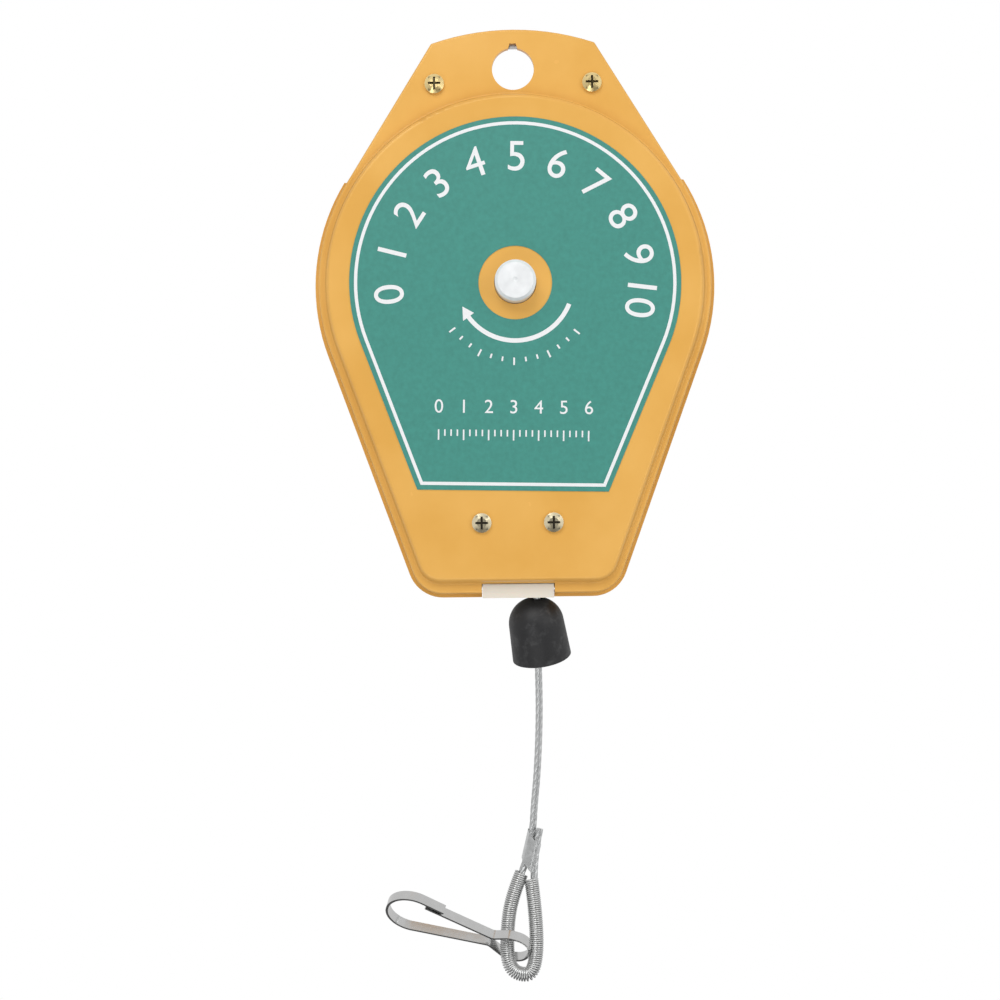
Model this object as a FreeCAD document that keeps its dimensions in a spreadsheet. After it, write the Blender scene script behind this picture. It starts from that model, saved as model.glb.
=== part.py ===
import FreeCAD, Part
import math
import os
import Sketcher
from FreeCAD import Placement, Rotation, Vector

# Spring tool balancer, hung from the hole in its ear.
# Frame: origin at the centre of the hanging hole, in the plane where the two ear sheets meet.
# +X to the right seen from the front, +Z up, and the front cover faces -Y.

doc = FreeCAD.newDocument("tool_balancer")
sheet = doc.addObject("Spreadsheet::Sheet", "Sizes")

# Driving dimensions, in millimetres and degrees.
SIZES = [
    # sheet-metal housing, seen from the front
    ("metal", 1.5, "thickness of the cover and tub sheet"),
    ("body_radius", 79.2, "round shoulder of the housing, about the shaft"),
    ("hang_clear", 7.4, "middle of the hanging hole above the round shoulder"),
    ("axis_drop", "=body_radius + hang_clear", "hanging hole down to the shaft axis"),
    ("ear_rise", 16.0, "hanging hole up to the top of the ear"),
    ("ear_flank", 31.8, "lean of the ear's flanks"),
    ("ear_corner", 1.2, "corner radius of the ear"),
    ("side_slope", 19.9, "lean of the lower sides"),
    ("base_drop", 124.4, "shaft axis down to the flat base"),
    ("base_corner", 12.5, "corner radius at the base"),
    # front cover
    ("pan_rise", 4.5, "raised pan above the shoulder"),
    ("pan_step", 2.6, "width of the shoulder at the sides"),
    ("pan_base_step", 4.2, "width of the shoulder at the base"),
    ("pan_draft", 15.0, "draft of the pan's wall"),
    ("pan_edge", 1.6, "rounding of the pan's edge"),
    ("pan_foot", 0.8, "rounding at the foot of the pan"),
    ("shoulder_edge", 0.9, "rounding of the shoulder's edge"),
    ("skirt_depth", 8.0, "skirt behind the ear plane"),
    ("skirt_draft", 6.0, "outward draft of the skirt"),
    ("hem_out", 1.1, "hem beyond the skirt"),
    ("hem_height", 2.0, "height of the hem"),
    ("exit_width", 29.4, "notch for the rope guide"),
    # rear tub
    ("tub_depth", 33.0, "ear plane to the tub's back"),
    ("tub_edge", 6.0, "rounding round the tub's back"),
    ("tub_fit", 0.2, "gap between the tub and the skirt"),
    # hanging hole and screws
    ("hang_hole", 16.9, "diameter of the hanging hole"),
    ("hang_notch_width", 3.6, "notch at the top of the hanging hole"),
    ("hang_notch_height", 1.8, "notch above the hole's edge"),
    ("screw_size", 4.0, "thread of the housing screws"),
    ("screw_play", 0.4, "screw holes over the thread"),
    ("screw_head", 7.8, "head diameter"),
    ("screw_head_height", 2.6, "head height"),
    ("recess_width", 0.9, "cross recess slot"),
    ("recess_depth", 1.3, "cross recess depth"),
    ("nut_width", 7.0, "nut across its flats"),
    ("nut_height", 3.2, "nut height"),
    ("washer_width", 9.0, "washer diameter"),
    ("washer_height", 0.8, "washer thickness"),
    ("top_screw_spread", 63.4, "distance between the ear's screws"),
    ("top_screw_drop", 5.9, "ear's screws below the hanging hole"),
    ("low_screw_spread", 28.8, "distance between the lower screws"),
    ("low_screw_rise", 28.4, "lower screws above the base"),
    # label plate
    ("label_radius", 66.4, "label's round edge"),
    ("label_width", 76.6, "label's lower edge"),
    ("label_drop", 83.2, "shaft axis down to the label's lower edge"),
    ("label_hole", 29.5, "hole round the shaft"),
    ("label_metal", 0.3, "label thickness"),
    ("label_turn", 1.2, "label is stuck on slightly askew"),
    # shaft and its bushes
    ("shaft_size", 16.4, "shaft diameter"),
    ("shaft_out", 9.0, "shaft end in front of the pan"),
    ("shaft_chamfer", 1.1, "chamfer of the shaft's front end"),
    ("centre_hole", 2.4, "centre drilling in the shaft end"),
    ("centre_depth", 1.4, "depth of the centre drilling"),
    ("shaft_play", 0.6, "holes in the sheet over the shaft"),
    ("arbor_size", 22.0, "thick stretch that holds the mainspring"),
    ("arbor_slot_depth", 4.5, "slot for the mainspring's inner end"),
    ("square_size", 11.0, "squared rear end across flats"),
    ("square_out", 15.0, "squared end behind the tub"),
    ("running_gap", 0.05, "radial clearance of turning pieces"),
    ("end_gap", 0.3, "axial clearance between stacked pieces"),
    ("bush_wall", 2.6, "bush wall"),
    ("bush_flange", 3.2, "flange beyond the bush wall"),
    ("bush_flange_height", 1.4, "flange thickness"),
    ("front_bush_length", 4.0, "front bush"),
    ("rear_bush_length", 3.2, "rear bush inside the tub"),
    ("thrust_width", 24.0, "thrust washer diameter"),
    ("thrust_height", 0.8, "thrust washer thickness"),
    # rope drum
    ("rope_size", 3.0, "wire rope diameter"),
    ("rope_turns", 5, "turns wound on the drum"),
    ("rope_pitch", 3.4, "spacing of the turns"),
    ("drum_radius", 48.5, "bottom of the rope's grooves"),
    ("groove_depth", 0.8, "depth of the rope's grooves"),
    ("drum_flange_out", 5.5, "flanges above the grooves' bottom"),
    ("drum_flange", 1.6, "flange thickness"),
    ("drum_web", 3.2, "front web"),
    ("drum_wall", 4.2, "rim round the spring's pocket"),
    ("hub_wall", 5.0, "hub round the drum bush"),
    ("hub_length", 5.2, "hub, front to back"),
    ("plate_metal", 1.5, "spring cover plate"),
    ("plate_screw", 2.5, "spring cover screws"),
    ("plate_screw_head", 4.4, "head of the spring cover screws"),
    ("plate_screw_head_height", 1.2, "head height"),
    ("plate_screw_length", 6.0, "spring cover screws into the rim"),
    ("plate_screws", 3, "number of spring cover screws"),
    ("anchor_size", 5.0, "button on the rope's inner end"),
    ("anchor_angle", 30.0, "place of the button round the drum"),
    # mainspring
    ("spring_band", 0.9, "thickness of the spring band"),
    ("spring_play", 1.0, "spring band beside the drum's hub and the plate"),
    ("spring_pitch", 3.4, "spacing of its turns"),
    ("spring_turns", 9, "number of turns"),
    ("spring_bend", 1.6, "bend at the band's two ends"),
    ("spring_gap", 0.4, "gap round the band's hooked ends"),
    # ratchet on the back
    ("ratchet_teeth", 24, "teeth of the ratchet wheel"),
    ("ratchet_radius", 20.0, "tips of the teeth"),
    ("tooth_height", 2.4, "height of the teeth"),
    ("ratchet_width", 4.0, "thickness of the ratchet wheel"),
    ("ratchet_gap", 0.6, "ratchet wheel behind the tub"),
    ("circlip_metal", 1.2, "circlip thickness"),
    ("circlip_wall", 2.6, "circlip from its groove outwards"),
    ("circlip_bite", 0.9, "groove in the corners of the square"),
    ("circlip_gap", 80.0, "opening of the circlip, an angle"),
    ("pawl_pivot_x", 27.0, "pawl pivot beside the shaft axis"),
    ("pawl_pivot_drop", 21.5, "pawl pivot below the shaft axis"),
    ("pawl_pin_size", 6.0, "pawl pin diameter"),
    ("pawl_pin_head", 10.0, "head of the pawl pin"),
    ("pawl_boss", 11.0, "round end of the pawl"),
    ("pawl_width", 3.6, "thickness of the pawl"),
    ("pawl_play", 0.25, "gap between the pawl's tip and the tooth"),
    ("spring_wire", 0.9, "wire of the pawl spring"),
    ("spring_coil", 8.8, "mean diameter of its coil"),
    ("coil_pitch", 1.0, "rise of each turn"),
    ("spring_bite", 0.3, "its leg's end in the tub's back"),
    ("spring_leg", 17.0, "leg under the pawl's arm"),
    # rope guide
    ("guide_width", 44.0, "guide inside the housing"),
    ("guide_height", 34.0, "guide inside the housing"),
    ("guide_lift", 5.6, "guide above the tub's bottom wall"),
    ("guide_out", 2.0, "guide below the base"),
    ("guide_chamfer", 2.0, "guide's lower rear edge"),
    ("guide_fit", 0.3, "gap round the guide's neck"),
    ("neck_depth", 20.0, "neck of the guide, front to back"),
    ("lip_depth", 1.0, "neck in front of the ear plane"),
    ("exit_x", 7.6, "rope exit beside the middle"),
    ("exit_y", 8.0, "rope exit behind the ear plane"),
    ("exit_hole", 5.0, "hole that the rope leaves by"),
    ("window_depth", 11.0, "rope window in the guide"),
    ("window_left", -15.0, "rope window's left wall at the top"),
    ("window_right", 11.1, "rope window's right wall at the top"),
    ("window_foot", 3.0, "rope window's foot above the base"),
    # rubber bumper
    ("bumper_size", 24.2, "bumper at its foot"),
    ("bumper_height", 25.4, "bumper height"),
    ("bumper_draft", 3.0, "draft of the bumper's side"),
    ("bumper_dome", 10.6, "rounding of the bumper's top"),
    ("bumper_cup", 5.0, "hollow in the bumper's foot"),
    ("bumper_wall", 3.4, "wall round the hollow"),
    ("bumper_hole", 3.5, "hole for the rope"),
    ("bumper_lean", 9.0, "lean of the bumper to the side"),
    ("bumper_tilt", 17.0, "lean of the bumper to the back"),
    ("bumper_shift", 1.8, "bumper's top beside the rope"),
    ("bumper_drop", 1.0, "top of the bumper below the guide"),
    ("stop_size", 6.4, "crimped stop under the bumper"),
    ("stop_length", 4.2, "crimped stop"),
    # ferrule, loop and its coil sleeve
    ("ferrule_side", 0.4, "ferrule beside the two ropes"),
    ("ferrule_metal", 0.7, "ferrule in front of and behind the ropes"),
    ("ferrule_length", 12.0, "ferrule along one edge"),
    ("ferrule_skew", 5.6, "slant of its ends"),
    ("ferrule_edge", 1.9, "rounding of its long edges"),
    ("ferrule_turn", 28.0, "ferrule turned about the rope"),
    ("ferrule_lean", 13.5, "ferrule's lean to the side"),
    ("tail_out", 10.0, "rope's tail above the ferrule's middle"),
    ("sleeve_size", 6.0, "coil sleeve outside diameter"),
    ("sleeve_wall", 1.2, "coil sleeve wall"),
    ("sleeve_below", 3.0, "bare rope before the sleeve, below the ferrule"),
    ("sleeve_beside", 3.5, "and after it, below the tail"),
    ("loop_tilt", 12.0, "loop's plane leans to the front going down"),
    ("loop_bend", 6.95, "bend at the bottom of the loop"),
    # snap hook
    ("strip_metal", 1.0, "strip of the snap hook"),
    ("strip_width", 4.0, "strip of the snap hook"),
    ("nose_bend", 10.4, "bend of the hook's nose"),
    ("eye_bend", 6.6, "bend of the hook's eye"),
    ("neck_bend", 3.0, "bends at the hook's neck"),
    ("hook_slope", 17.5, "hook's long axis below the horizontal"),
    ("hook_tilt", 44.0, "hook's plane turned about its long axis"),
]

for row, (alias, value, note) in enumerate(SIZES, start=1):
    sheet.set(f"A{row}", alias)
    sheet.set(f"B{row}", str(value))
    sheet.set(f"C{row}", note)
    sheet.setAlias(f"B{row}", alias)
doc.recompute()


class Values:
    """The driving dimensions, read back from the sheet."""


d = Values()
for alias, value, note in SIZES:
    setattr(d, alias, sheet.get(alias))
d.rope_turns = int(round(d.rope_turns))
d.plate_screws = int(round(d.plate_screws))
d.spring_turns = int(round(d.spring_turns))
d.ratchet_teeth = int(round(d.ratchet_teeth))

FRONT = "XZ_Plane"      # sketch x is X, sketch y is Z, and its normal points to the front
AXIAL = "XY_Plane"      # sketch x is the radius, sketch y is the depth Y
nodes = []


def rad(angle):
    return math.radians(angle)


def polar(radius, angle):
    return Vector(radius * math.cos(rad(angle)), radius * math.sin(rad(angle)), 0)


# ---------------------------------------------------------------- drawing helpers

def body(label, kept=True):
    """A body; one that isn't kept is only the form that copies are made from."""
    piece = doc.addObject("PartDesign::Body", label)
    piece.Label = label
    if kept:
        nodes.append(piece)
    return piece


def sketch(piece, role, offset=0.0):
    """A sketch on one of the body's own planes, moved along its normal by a length or an expression."""
    origin_plane = [f for f in piece.Origin.OriginFeatures if f.Role == role][0]
    drawing = piece.newObject("Sketcher::SketchObject", piece.Name + "_sketch")
    drawing.AttachmentSupport = [(origin_plane, "")]
    drawing.MapMode = "FlatFace"
    if isinstance(offset, str):
        drawing.setExpression("AttachmentOffset.Base.z", offset)
    else:
        drawing.AttachmentOffset = Placement(Vector(0, 0, offset), Rotation())
    return drawing


def join_ends(drawing, first, count, closed=True):
    for i in range(count - 1):
        drawing.addConstraint(Sketcher.Constraint("Coincident", first + i, 2, first + i + 1, 1))
    if closed:
        drawing.addConstraint(Sketcher.Constraint("Coincident", first + count - 1, 2, first, 1))


def polygon(drawing, points):
    first = drawing.GeometryCount
    points = [Vector(p[0], p[1], 0) for p in points]
    for a, b in zip(points, points[1:] + points[:1]):
        drawing.addGeometry(Part.LineSegment(a, b), False)
    join_ends(drawing, first, len(points))


def draw(drawing, edges):
    for edge in edges:
        drawing.addGeometry(edge, False)


def circle(drawing, diameter, x=0.0, y=0.0):
    """A circle whose diameter follows an expression of the sheet."""
    index = drawing.addGeometry(Part.Circle(Vector(x, y, 0), Vector(0, 0, 1), 1.0), False)
    if x == 0.0 and y == 0.0:
        drawing.addConstraint(Sketcher.Constraint("Coincident", index, 3, -1, 1))
    else:
        drawing.addConstraint(Sketcher.Constraint("DistanceX", -1, 1, index, 3, x))
        drawing.addConstraint(Sketcher.Constraint("DistanceY", -1, 1, index, 3, y))
    size = drawing.addConstraint(Sketcher.Constraint("Diameter", index, 2.0))
    drawing.setExpression(f"Constraints[{size}]", diameter)


def arc(centre, radius, start, end):
    """Counter-clockwise arc, angles in degrees."""
    return Part.ArcOfCircle(Part.Circle(centre, Vector(0, 0, 1), radius), rad(start), rad(end))


def angle_of(vector):
    return math.degrees(math.atan2(vector.y, vector.x))


def rounded_path(points, radii):
    """Lines through the points, with a tangent arc at each inner point.

    Gives ("line", start, end) and ("arc", centre, radius, start angle, sweep) in order."""
    points = [Vector(p[0], p[1], 0) for p in points]
    pieces = []
    here = points[0]
    for corner, after, radius in zip(points[1:-1], points[2:], radii):
        into = (corner - here).normalize()
        out = (after - corner).normalize()
        turn = math.atan2(into.x * out.y - into.y * out.x, into.dot(out))
        reach = radius * math.tan(abs(turn) / 2)
        start = corner - into * reach
        side = Vector(-into.y, into.x, 0) * math.copysign(1.0, turn)
        centre = start + side * radius
        pieces.append(("line", here, start))
        pieces.append(("arc", centre, radius, angle_of(start - centre), math.degrees(turn)))
        here = corner + out * reach
    pieces.append(("line", here, points[-1]))
    return pieces


def strip_outline(points, radii, thickness):
    """Closed outline of a strip bent along a path."""
    half = thickness / 2
    left, right, ends = [], [], []
    for piece in rounded_path(points, radii):
        if piece[0] == "line":
            start, end = piece[1], piece[2]
            side = (end - start).normalize()
            side = Vector(-side.y, side.x, 0) * half
            left.append(Part.LineSegment(start + side, end + side))
            right.append(Part.LineSegment(start - side, end - side))
            ends.append((start, end, side))
        else:
            centre, radius, start, sweep = piece[1:]
            inward = math.copysign(half, sweep)
            low, high = min(start, start + sweep), max(start, start + sweep)
            left.append(arc(centre, radius - inward, low, high))
            right.append(arc(centre, radius + inward, low, high))
    first, last = ends[0], ends[-1]
    caps = [Part.LineSegment(first[0] + first[2], first[0] - first[2]),
            Part.LineSegment(last[1] + last[2], last[1] - last[2])]
    return left + right + caps


def set_length(feature, length):
    """Length of a feature, as a number or as an expression of the sheet."""
    if isinstance(length, str):
        feature.setExpression("Length", length)
    else:
        feature.Length = length


def pad(piece, drawing, length, toward_front=True, middle=False):
    """Pads a FRONT sketch to the front (-Y) or to the back (+Y)."""
    feature = piece.newObject("PartDesign::Pad", piece.Name + "_pad")
    feature.Profile = drawing
    set_length(feature, length)
    feature.Reversed = not toward_front
    feature.Midplane = middle
    return feature


def pocket(piece, drawing, length, toward_front=True):
    """Pockets a FRONT sketch to the front (-Y) or to the back (+Y)."""
    feature = piece.newObject("PartDesign::Pocket", piece.Name + "_pocket")
    feature.Profile = drawing
    set_length(feature, length)
    feature.Reversed = toward_front
    return feature


def drafted(piece, near, near_offset, far, far_offset, cut=False):
    """Drafted wall between two outlines at two offsets to the front, added or cut away."""
    first = sketch(piece, FRONT, near_offset)
    draw(first, near)
    second = sketch(piece, FRONT, far_offset)
    draw(second, far)
    kind = "PartDesign::SubtractiveLoft" if cut else "PartDesign::AdditiveLoft"
    feature = piece.newObject(kind, piece.Name + "_drafted")
    feature.Profile = first
    feature.Sections = [second]
    feature.Ruled = True
    return feature


def turned(label, outline, at=None, role=AXIAL, kept=True):
    """A body turned about its sketch's vertical axis: the depth axis, or Z for a FRONT sketch."""
    piece = body(label, kept)
    drawing = sketch(piece, role)
    polygon(drawing, outline)
    feature = piece.newObject("PartDesign::Revolution", label + "_turned")
    feature.Profile = drawing
    feature.ReferenceAxis = (drawing, ["V_Axis"])
    feature.Angle = 360.0
    if at is None and role == AXIAL:
        on_axis(piece)
    return piece


def on_axis(piece):
    """Moves a body from the origin down to the shaft axis."""
    piece.setExpression("Placement.Base.z", "-Sizes.axis_drop")


def edges_where(feature, test):
    return [f"Edge{i}" for i, edge in enumerate(feature.Shape.Edges, start=1) if test(edge)]


def fillet(piece, feature, test, radius):
    doc.recompute()
    rounding = piece.newObject("PartDesign::Fillet", piece.Name + "_fillet")
    rounding.Base = (feature, edges_where(feature, test))
    rounding.setExpression("Radius", radius)
    doc.recompute()
    return rounding


def shell(piece, feature, open_face, thickness):
    """Hollows a solid inwards, open at one face."""
    hollow = piece.newObject("PartDesign::Thickness", piece.Name + "_shell")
    faces = [f"Face{i}" for i, face in enumerate(feature.Shape.Faces, start=1) if open_face(face)]
    hollow.Base = (feature, faces)
    hollow.setExpression("Value", thickness)
    hollow.Reversed = True
    doc.recompute()
    return hollow


def at_depth(y):
    """Edges that lie wholly at one depth."""
    return lambda edge: abs(edge.BoundBox.YMin - y) < 1e-4 and abs(edge.BoundBox.YMax - y) < 1e-4


def around(piece, feature, count):
    """Polar pattern about the depth axis."""
    pattern = piece.newObject("PartDesign::PolarPattern", piece.Name + "_pattern")
    pattern.Originals = [feature]
    pattern.Axis = (feature.Profile[0], ["N_Axis"])
    pattern.Angle = 360.0
    pattern.Occurrences = count
    piece.Tip = pattern
    return pattern


def made(label, shape, placement=None):
    piece = doc.addObject("Part::Feature", label)
    piece.Label = label
    piece.Shape = shape
    if placement:
        piece.Placement = placement
    nodes.append(piece)
    return piece


def route(points, radii=None):
    """Straight runs through the points, joined by tangent arcs, as edges.

    An arc without a radius of its own is as large as its shorter run allows."""
    edges = []
    here = points[0]
    for k in range(1, len(points) - 1):
        before, corner, after = points[k - 1], points[k], points[k + 1]
        into, out = (corner - before), (after - corner)
        shorter = min(into.Length, out.Length)
        into.normalize()
        out.normalize()
        half = into.getAngle(out) / 2
        radius = radii[k - 1] if radii and radii[k - 1] else 0.45 * shorter / math.tan(half)
        reach = radius * math.tan(half)
        start, end = corner - into * reach, corner + out * reach
        middle = corner + (out - into).normalize() * (radius / math.cos(half) - radius)
        if (start - here).Length > 1e-6:
            edges.append(Part.LineSegment(here, start).toShape())
        edges.append(Part.Arc(start, middle, end).toShape())
        print(f"turn {math.degrees(2 * half):.1f} deg, radius {radius:.1f} mm")
        here = end
    if (points[-1] - here).Length > 1e-6:
        edges.append(Part.LineSegment(here, points[-1]).toShape())
    return edges


def swept(path, start, direction, size):
    """Round section swept along a wire."""
    section = Part.Wire(Part.Circle(start, direction, size / 2).toShape())
    return path.makePipeShell([section], True, False)


def tube(points, size, radii=None):
    """Rope or hole of one diameter along a route."""
    shape = swept(Part.Wire(route(points, radii)), points[0], points[1] - points[0], size)
    return shape


# ---------------------------------------------------------------- housing outlines

def body_edges(grow, base_grow=None, centre_z=0.0, chord=False):
    """Round body with straight lower sides and a flat base, about the shaft axis.

    grow moves the whole outline outwards, base_grow the base alone. With chord, the outline is
    closed straight across between the points where the ear's flanks touch it."""
    if base_grow is None:
        base_grow = grow
    radius = d.body_radius + grow
    slope = rad(d.side_slope)
    base = d.base_drop + base_grow
    middle = Vector(0, centre_z, 0)
    touch = Vector(radius * math.cos(slope), -radius * math.sin(slope), 0)
    run = (base - radius * math.sin(slope)) / math.cos(slope)
    corner = touch + Vector(-math.sin(slope), -math.cos(slope), 0) * run
    rounding = d.base_corner + grow
    reach = rounding * math.tan((math.pi / 2 - slope) / 2)
    side_end = corner + Vector(math.sin(slope), math.cos(slope), 0) * reach
    base_end = corner - Vector(reach, 0, 0)
    centre = base_end + Vector(0, rounding, 0)

    def mirrored(point):
        return Vector(-point.x, point.y, 0)

    def here(point):
        return point + middle

    top = d.ear_flank if chord else 90.0
    edges = [arc(middle, radius, -d.side_slope, top),
             arc(middle, radius, 180.0 - top, 180.0 + d.side_slope),
             Part.LineSegment(here(mirrored(touch)), here(mirrored(side_end))),
             arc(here(mirrored(centre)), rounding, 180.0 + d.side_slope, 270.0),
             Part.LineSegment(here(mirrored(base_end)), here(base_end)),
             arc(here(centre), rounding, 270.0, 360.0 - d.side_slope),
             Part.LineSegment(here(side_end), here(touch))]
    if chord:
        edges.append(Part.LineSegment(here(polar(radius, top)), here(polar(radius, 180.0 - top))))
    return edges


def ear_points():
    """Touching point of the right flank and the right upper corner, about the shaft axis."""
    touch = polar(d.body_radius, d.ear_flank)
    ear_radius = d.axis_drop + d.ear_rise
    along = Vector(-math.sin(rad(d.ear_flank)), math.cos(rad(d.ear_flank)), 0)
    corner = touch + along * math.sqrt(ear_radius ** 2 - d.body_radius ** 2)
    return touch, corner, ear_radius


def ear_edges():
    """The ear by itself, closed straight across between its touching points."""
    touch, corner, ear_radius = ear_points()
    left_touch, left_corner = Vector(-touch.x, touch.y, 0), Vector(-corner.x, corner.y, 0)
    start = angle_of(corner)
    return [Part.LineSegment(touch, corner), arc(Vector(), ear_radius, start, 180.0 - start),
            Part.LineSegment(left_corner, left_touch), Part.LineSegment(left_touch, touch)]


def flange_edges():
    """Ear and body in one outline."""
    ear = ear_edges()[:3]
    lower = body_edges(0.0, chord=True)[:-1]
    return ear + lower


def screw_places():
    """Centres of the two upper and two lower screws, in X and Z about the shaft axis."""
    top_z = d.axis_drop - d.top_screw_drop
    low_z = -d.base_drop + d.low_screw_rise
    top = [(side * d.top_screw_spread / 2, top_z) for side in (-1, 1)]
    low = [(side * d.low_screw_spread / 2, low_z) for side in (-1, 1)]
    return top, low


def ear_corner_edges():
    """The two short edges through the sheet at the ear's corners."""
    corner = ear_points()[1]

    def test(edge):
        box = edge.BoundBox
        upright = box.YLength > d.metal / 2 and box.XLength < 1e-4 and box.ZLength < 1e-4
        return upright and abs(abs(box.XMin) - corner.x) < 1e-3
    return test


def hanging_hole(piece):
    """Round hole in the ear with its small notch at the top."""
    drawing = sketch(piece, FRONT, "-Sizes.metal * 2")
    circle(drawing, "Sizes.hang_hole", 0.0, d.axis_drop)
    pocket(piece, drawing, "Sizes.metal * 4")
    edge = d.axis_drop + d.hang_hole / 2
    half = d.hang_notch_width / 2
    top = half * 0.7
    drawing = sketch(piece, FRONT, "-Sizes.metal * 2")
    polygon(drawing, [(-half, edge - half), (half, edge - half), (half, edge),
                      (top, edge + d.hang_notch_height), (-top, edge + d.hang_notch_height), (-half, edge)])
    return pocket(piece, drawing, "Sizes.metal * 4")


def screw_holes(piece, places, start, depth):
    drawing = sketch(piece, FRONT, start)
    for x, z in places:
        circle(drawing, "Sizes.screw_size + Sizes.screw_play", x, z)
    return pocket(piece, drawing, depth)


TOP_SCREWS, LOW_SCREWS = screw_places()
PAN_Y = -(d.metal + d.pan_rise)
SKIRT_OUT = d.skirt_depth * math.tan(rad(d.skirt_draft))
PAN_IN = d.pan_rise * math.tan(rad(d.pan_draft))
SHAFT_HOLE = "Sizes.shaft_size + Sizes.shaft_play"
SPRING_FOOT = d.pawl_boss / 2 + 4.5     # pawl spring's foot below the pawl's pivot


# ---------------------------------------------------------------- housing

def front_cover():
    """Pressed lid: ear, shoulder, raised pan, skirt with its hem."""
    piece = body("front_cover")
    drawing = sketch(piece, FRONT)
    draw(drawing, flange_edges())
    flange = pad(piece, drawing, "Sizes.metal")
    fillet(piece, flange, ear_corner_edges(), "Sizes.ear_corner")
    drafted(piece, body_edges(0.0, chord=True), "0", body_edges(SKIRT_OUT, chord=True), "-Sizes.skirt_depth")
    drawing = sketch(piece, FRONT, "-Sizes.skirt_depth")
    draw(drawing, body_edges(SKIRT_OUT + d.hem_out, chord=True))
    pad(piece, drawing, "Sizes.hem_height")
    pan = drafted(piece, body_edges(-d.pan_step, -d.pan_base_step), "Sizes.metal",
                  body_edges(-d.pan_step - PAN_IN, -d.pan_base_step - PAN_IN), "Sizes.metal + Sizes.pan_rise")
    rounded = fillet(piece, pan, at_depth(PAN_Y), "Sizes.pan_edge")
    inside_shoulder = d.body_radius - d.pan_step / 2
    rounded = fillet(piece, rounded, pan_foot_edges(inside_shoulder), "Sizes.pan_foot")
    fillet(piece, rounded, shoulder_edges(inside_shoulder), "Sizes.shoulder_edge")
    drafted(piece, body_edges(-d.metal), "0", body_edges(SKIRT_OUT - d.metal), "-Sizes.skirt_depth", cut=True)
    inner, base = -d.pan_step - d.metal, -d.pan_base_step - d.metal
    drafted(piece, body_edges(inner, base), "0", body_edges(inner - PAN_IN, base - PAN_IN),
            "Sizes.pan_rise", cut=True)
    drawing = sketch(piece, FRONT)
    circle(drawing, SHAFT_HOLE)
    pocket(piece, drawing, "Sizes.metal + Sizes.pan_rise")
    hanging_hole(piece)
    screw_holes(piece, TOP_SCREWS + LOW_SCREWS, "0", "Sizes.metal + Sizes.pan_rise")
    drawing = sketch(piece, FRONT, "-Sizes.skirt_depth")
    half, top = d.exit_width / 2, -d.base_drop + d.pan_base_step - d.guide_fit
    low = -d.base_drop - SKIRT_OUT - 2 * d.hem_out
    polygon(drawing, [(-half, low), (half, low), (half, top), (-half, top)])
    pocket(piece, drawing, "Sizes.skirt_depth + 2 * Sizes.metal")
    on_axis(piece)


def pan_foot_edges(limit):
    """Edges at the shoulder's face that lie inside the shoulder."""
    def test(edge):
        middle = edge.valueAt((edge.FirstParameter + edge.LastParameter) / 2)
        on_face = at_depth(-d.metal)(edge)
        high = middle.z > -d.base_drop + 0.75 * d.pan_base_step
        return on_face and high and distance_out(middle) < limit
    return test


def shoulder_edges(limit):
    """Edges round the shoulder, below the ear's flanks."""
    touch = ear_points()[0]

    def test(edge):
        middle = edge.valueAt((edge.FirstParameter + edge.LastParameter) / 2)
        outside = distance_out(middle) > limit or middle.z < -d.base_drop + 0.75 * d.pan_base_step
        return at_depth(-d.metal)(edge) and outside and middle.z < touch.y - 0.5
    return test


def distance_out(point):
    """How far a point is from the shaft axis, measured square to the nearest side of the body."""
    slope = rad(d.side_slope)
    square = abs(point.x) * math.cos(slope) - point.z * math.sin(slope)
    if point.z > -d.body_radius * math.sin(slope):
        return math.hypot(point.x, point.z)
    return square


def rear_tub():
    """Deep-drawn tub with its own ear."""
    piece = body("rear_tub")
    inset = d.metal + d.tub_fit
    drawing = sketch(piece, FRONT)
    draw(drawing, body_edges(-inset))
    tub = pad(piece, drawing, "Sizes.tub_depth", toward_front=False)
    rounded = fillet(piece, tub, at_depth(d.tub_depth), "Sizes.tub_edge")
    shell(piece, rounded, lambda face: abs(face.BoundBox.YMax) < 1e-4, "Sizes.metal")
    drawing = sketch(piece, FRONT)
    draw(drawing, ear_edges())
    ear = pad(piece, drawing, "Sizes.metal", toward_front=False)
    fillet(piece, ear, ear_corner_edges(), "Sizes.ear_corner")
    drawing = sketch(piece, FRONT)
    draw(drawing, body_edges(-inset - d.metal))
    pocket(piece, drawing, "Sizes.metal", toward_front=False)
    drawing = sketch(piece, FRONT, "-Sizes.tub_depth")
    circle(drawing, SHAFT_HOLE)
    circle(drawing, "Sizes.pawl_pin_size", d.pawl_pivot_x, -d.pawl_pivot_drop)
    circle(drawing, "Sizes.spring_wire + 4 * Sizes.running_gap", d.pawl_pivot_x - d.spring_coil / 2,
           -d.pawl_pivot_drop - SPRING_FOOT)
    pocket(piece, drawing, "Sizes.metal * 2")
    hanging_hole(piece)
    screw_holes(piece, TOP_SCREWS + LOW_SCREWS, "-Sizes.tub_depth", "Sizes.tub_depth")
    drawing = sketch(piece, FRONT, "0")
    half, low = d.exit_width / 2, -d.base_drop
    top = -d.base_drop + inset + 2 * d.metal
    polygon(drawing, [(-half, low), (half, low), (half, top), (-half, top)])
    pocket(piece, drawing, "Sizes.neck_depth + 2 * Sizes.guide_fit", toward_front=False)
    on_axis(piece)


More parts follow.
